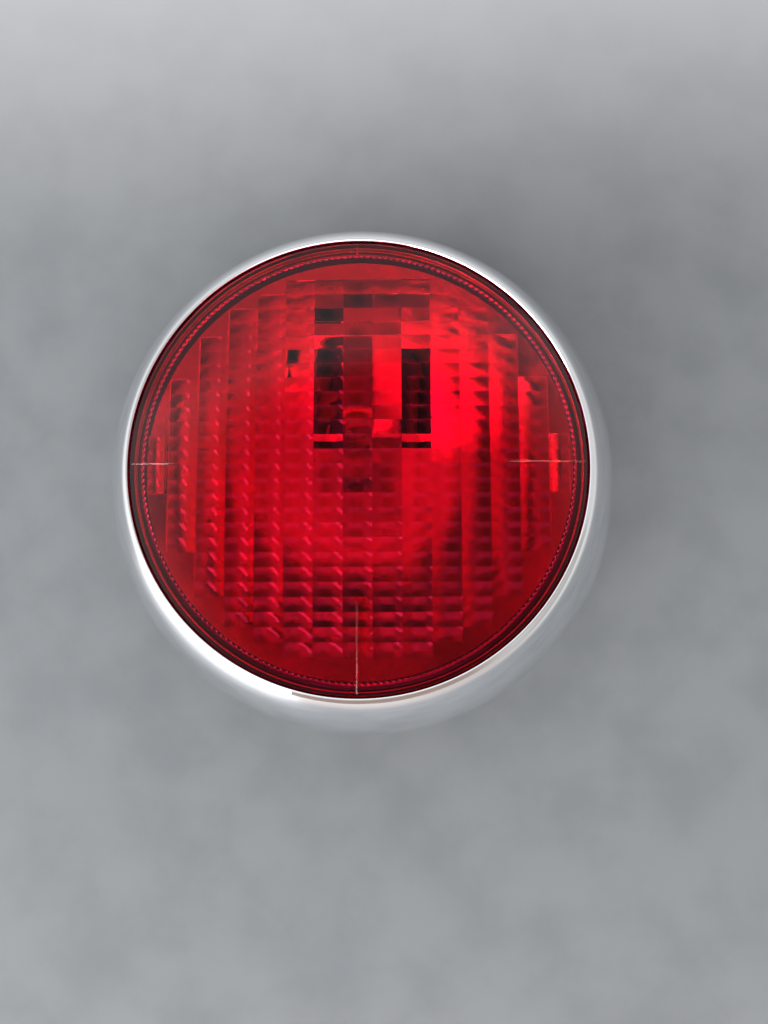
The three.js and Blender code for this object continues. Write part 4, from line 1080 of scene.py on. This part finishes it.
def make_leads():
    route = [
        (CONTACT_X, CAP_Y + 0.4, BULB_Z),
        (CONTACT_X, SHELL_END_Y + 1.2, BULB_Z),
        (3.6, 41.4, 25.2),
        (4.2, 42, 20.5),
        (8, 39.4, 14.5),
        (13.4, 33, 9.6),
        (15, 22, 8),
        (15.2, 6, 8),
        (14.6, -6, 8.4),
        (10.6, -13.4, 9.4),
        (TERMINAL_X, -18, TERMINAL_Z),
        (TERMINAL_X, BLOCK_Y1 - 3, TERMINAL_Z),
    ]
    for name, side in (("lead_tail", -1), ("lead_brake", 1)):
        path = smooth_path([(side * x, y, z) for x, y, z in route])
        install(sweep("lead", path, LEAD_R, 16), name)
    earth = [(0, BLOCK_Y1 - 3, TERMINAL_Z), (0, -17.4, TERMINAL_Z), (-5, -12.6, 9.6), (-11.2, -6, 9)]
    earth += [(-11.6, 4, 8.9), (-9.6, 12, 8.8), (-9, 16, 8.8)]
    install(sweep("lead", smooth_path(earth), LEAD_R, 16), "lead_earth")


# ------------------------------ bulb


def glass_side(radius, neck, neck_end=18.0, shoulder=35):
    """One side of the bulb's glass: the globe, a flowing shoulder and the neck."""
    angle = math.radians(shoulder)
    x, y = radius * math.cos(angle), radius * math.sin(angle)
    corner_y = y + (x - neck) / math.tan(angle)
    start, corner, end = Vector((x, y)), Vector((neck, corner_y)), Vector((neck, corner_y + 2))
    flow = []
    for k in range(1, 11):
        t = k / 10
        flow.append(tuple(start * (1 - t) ** 2 + corner * (2 * t * (1 - t)) + end * t * t))
    return [(0, -radius), *arc(0, 0, radius, -90, shoulder, 28)[1:], *flow, (neck, neck_end)]


def make_bulb():
    at = (0, GLOBE_Y, BULB_Z)
    inner_side = glass_side(GLOBE_R - GLASS, NECK_R - GLASS)
    glass = glass_side(GLOBE_R, NECK_R) + list(reversed(inner_side))
    install(lathe("glass", glass, 96, "y", at, smooth=50), "bulb_glass")

    base = [(7.1, 15.8), (7.5, 15.8), (7.5, 17.0), (7.35, 17.2), (7.5, 17.4), (7.5, 32.5), (7.0, 33)]
    base += [(5.8, 33), (5.8, 32.6), (6.9, 32.4), (7.1, 32.2)]
    shell = lathe("base", soften(base, 0.15), 96, "y", at)
    pins = []
    for place, degrees in PINS:
        pin = lathe("pin", soften([(0, 6.9), (1, 6.9), (1, 8.8), (0, 8.8)], 0.3, False), TINY)
        pin.data.transform(turn(0, math.radians(90 + degrees), 0))
        pin.data.transform(shift(0, place + GLOBE_Y, BULB_Z))
        pins.append(pin)
    install(carve(shell, pins, "UNION"), "bulb_base")

    insulator = [(0, 30.6), (6.4, 30.6), (6.4, 32), (5.4, 32.2), (5.4, 33.6), (0, 33.6)]
    install(lathe("insulator", soften(insulator, 0.3, False), SMALL, "y", at), "bulb_insulator")
    contact = [(0, 33.8), (1.9, 33.8), (1.85, 33.93), (1.4, 34.04), (0.7, 34.09), (0, 34.1)]
    for name, side in (("bulb_contact_tail", -1), ("bulb_contact_brake", 1)):
        spot = (side * CONTACT_X, GLOBE_Y, BULB_Z)
        install(lathe("contact", contact, TINY, "y", spot, smooth=50), name)

    stem = [(0, 8.6), (1.2, 8.7), (1.6, 9.2), (1.9, 11), (2.2, 14), (3.2, 15.8), (4.8, 17), (0, 17)]
    shaft = lathe("stem", soften(stem, 0.5, False), SMALL, "y", smooth=50)
    shaft.data.transform(Matrix.Diagonal((1, 1, 0.9, 1)))
    shaft.data.transform(shift(*at))
    install(shaft, "bulb_stem")

    for name, side, half, turns in (("filament_tail", -1, 2.4, 4), ("filament_brake", 1, 3.0, 5)):
        z = side * 2.6
        leg = [(1, 10.5, z), (1, 7, z), (1.15, 3, z)]
        reach = half + 0.7
        coil = helix(0.75, turns, -half, half, 16, lambda y, dz, x: (x, y, z + dz))
        left = [(-reach * w, y, h) for w, y, h in leg]
        right = [(reach * w, y, h) for w, y, h in reversed(leg)]
        path = [Vector(p) + Vector(at) for p in smooth_path(left + coil + right, 2)]
        install(sweep("filament", path, 0.16, 8), name)


# ------------------------------ camera, floor and light


def make_camera():
    camera = bpy.data.objects.new("camera", bpy.data.cameras.new("camera"))
    camera.data.sensor_fit = "VERTICAL"
    camera.data.sensor_height = CAMERA_SENSOR
    camera.data.lens = CAMERA_LENS
    camera.data.clip_start = 0.005
    camera.location = Vector(CAMERA_PLACE) * MM
    camera.rotation_euler = [math.radians(a) for a in CAMERA_TURN]
    bpy.context.scene.collection.objects.link(camera)
    bpy.context.scene.camera = camera


def make_floor():
    """A floor with painted light and shade: grey near the lamp, paler further out and past its upper side as
    painted light, brown past its lower side as painted shade.
    """
    finish = Finish("floor_with_painted_light", (0.25, 0.26, 0.27), roughness=0.4)
    finish.tint(finish.ranged(finish.noise(22, 8), 0.35, 0.7, 0, 0.6), (0.19, 0.2, 0.21))
    away = finish.nodes.new("ShaderNodeVectorMath")
    away.operation = "LENGTH"
    finish.links.new(finish.place, away.inputs[0])
    # painted light: the floor turns paler away from the lamp, leaving darker grey round it, and the chrome
    # reflects this pale far floor
    finish.tint(finish.ranged(away.outputs["Value"], 0.17, 0.36), (0.75, 0.75, 0.74))
    split = finish.nodes.new("ShaderNodeSeparateXYZ")
    finish.links.new(finish.place, split.inputs["Vector"])
    # painted light: paler floor past the lamp's upper (+Y) side
    finish.tint(finish.ranged(split.outputs["Y"], 0.05, 0.2, 0, 0.6), (0.72, 0.72, 0.72))
    # painted shade: brown, darker floor past the lamp's lower (-Y) side, also seen reflected in the chrome's
    # lower edge
    finish.tint(finish.ranged(split.outputs["Y"], -0.15, -0.3, 0, 0.7), (0.36, 0.28, 0.25))
    corners = [(x * FLOOR_HALF, y * FLOOR_HALF, 0) for x, y in ((-1, -1), (1, -1), (1, 1), (-1, 1))]
    floor = mesh_object("floor", corners, [[0, 1, 2, 3]])
    floor.data.materials.append(finish.material)


def outward(azimuth, elevation):
    """A unit vector from angles in degrees: azimuth from +X towards +Y, elevation above the floor."""
    a, e = math.radians(azimuth), math.radians(elevation)
    return Vector((math.cos(e) * math.cos(a), math.cos(e) * math.sin(a), math.sin(e)))


def make_world():
    """Studio walls: pale round the lamp, brown low on the -Y side with a bright patch above it, and dark
    overhead except on the +Y side.
    """
    world = bpy.data.worlds.new("studio")
    world.use_nodes = True
    nodes, links = world.node_tree.nodes, world.node_tree.links
    direction = nodes.new("ShaderNodeTexCoord").outputs["Generated"]

    def towards(azimuth, elevation, low, high):
        """Rises from 0 to 1 as a direction nears the one given, between two cosines."""
        dot = nodes.new("ShaderNodeVectorMath")
        dot.operation = "DOT_PRODUCT"
        dot.inputs[1].default_value = outward(azimuth, elevation)
        links.new(direction, dot.inputs[0])
        ranged = nodes.new("ShaderNodeMapRange")
        ranged.interpolation_type = "SMOOTHSTEP"
        ranged.inputs["From Min"].default_value = low
        ranged.inputs["From Max"].default_value = high
        links.new(dot.outputs["Value"], ranged.inputs["Value"])
        return ranged.outputs["Result"]

    def both(a, b):
        return multiplied(nodes, links, a, b)

    shades = [
        (towards(0, 0, 0.3, 0.9), (0.55, 0.54, 0.51)),
        (both(towards(275, 0, 0.7, 0.95), towards(0, 90, 0.38, 0.22)), (0.4, 0.3, 0.26)),
        (towards(275, 42, 0.84, 0.96), (2.6, 2.6, 2.65)),
        (towards(0, 90, 0.84, 0.95), (0.07, 0.07, 0.072)),
        (both(towards(104, 0, 0.35, 0.42), towards(0, 90, 0.5, 0.8)), (0.58, 0.59, 0.62)),
    ]
    color = None
    for mask, shade_color in shades:
        mix = nodes.new("ShaderNodeMix")
        mix.data_type = "RGBA"
        if color:
            links.new(color, mix.inputs["A"])
        else:
            mix.inputs["A"].default_value = (1.05, 1.07, 1.1, 1)
        mix.inputs["B"].default_value = (*shade_color, 1)
        links.new(mask, mix.inputs["Factor"])
        color = mix.outputs["Result"]
    links.new(color, nodes["Background"].inputs["Color"])
    bpy.context.scene.world = world


def make_panel(name, azimuth, elevation, distance, size, power):
    """A soft rectangular light that faces the lamp."""
    light = bpy.data.lights.new(name, "AREA")
    light.shape = "RECTANGLE"
    light.size, light.size_y = size
    light.energy = power
    panel = bpy.data.objects.new(name, light)
    out = outward(azimuth, elevation)
    panel.location = out * distance
    panel.rotation_euler = out.to_track_quat("Z", "Y").to_euler()
    bpy.context.scene.collection.objects.link(panel)


make_camera()
make_floor()
make_world()
make_panel("window_light", 222, 15, 1.4, (1.4, 0.72), 28)

bpy.context.scene.view_settings.view_transform = "Standard"
bpy.context.scene.cycles.max_bounces = 20
bpy.context.scene.cycles.transmission_bounces = 18
bpy.context.scene.cycles.glossy_bounces = 10

make_rim()
make_lens()
for direction, start in MOULD_LINES.items():
    make_mould_line(f"mould_line_{direction}", direction, start)
for number, angle in enumerate(SCREW_ANGLES, 1):
    make_lug(number, angle)
    make_rim_screw(number, angle)
make_housing()
make_carrier_ring()
make_base_pad()
make_grommet()
make_mount_nut("mount_nut_left", -1)
make_mount_nut("mount_nut_right", 1)
make_window()
make_reflector()
make_gasket()
make_bracket()
make_bracket_rivet("bracket_rivet_left", -1)
make_bracket_rivet("bracket_rivet_right", 1)
make_socket()
make_terminal_block()
make_leads()
make_bulb()
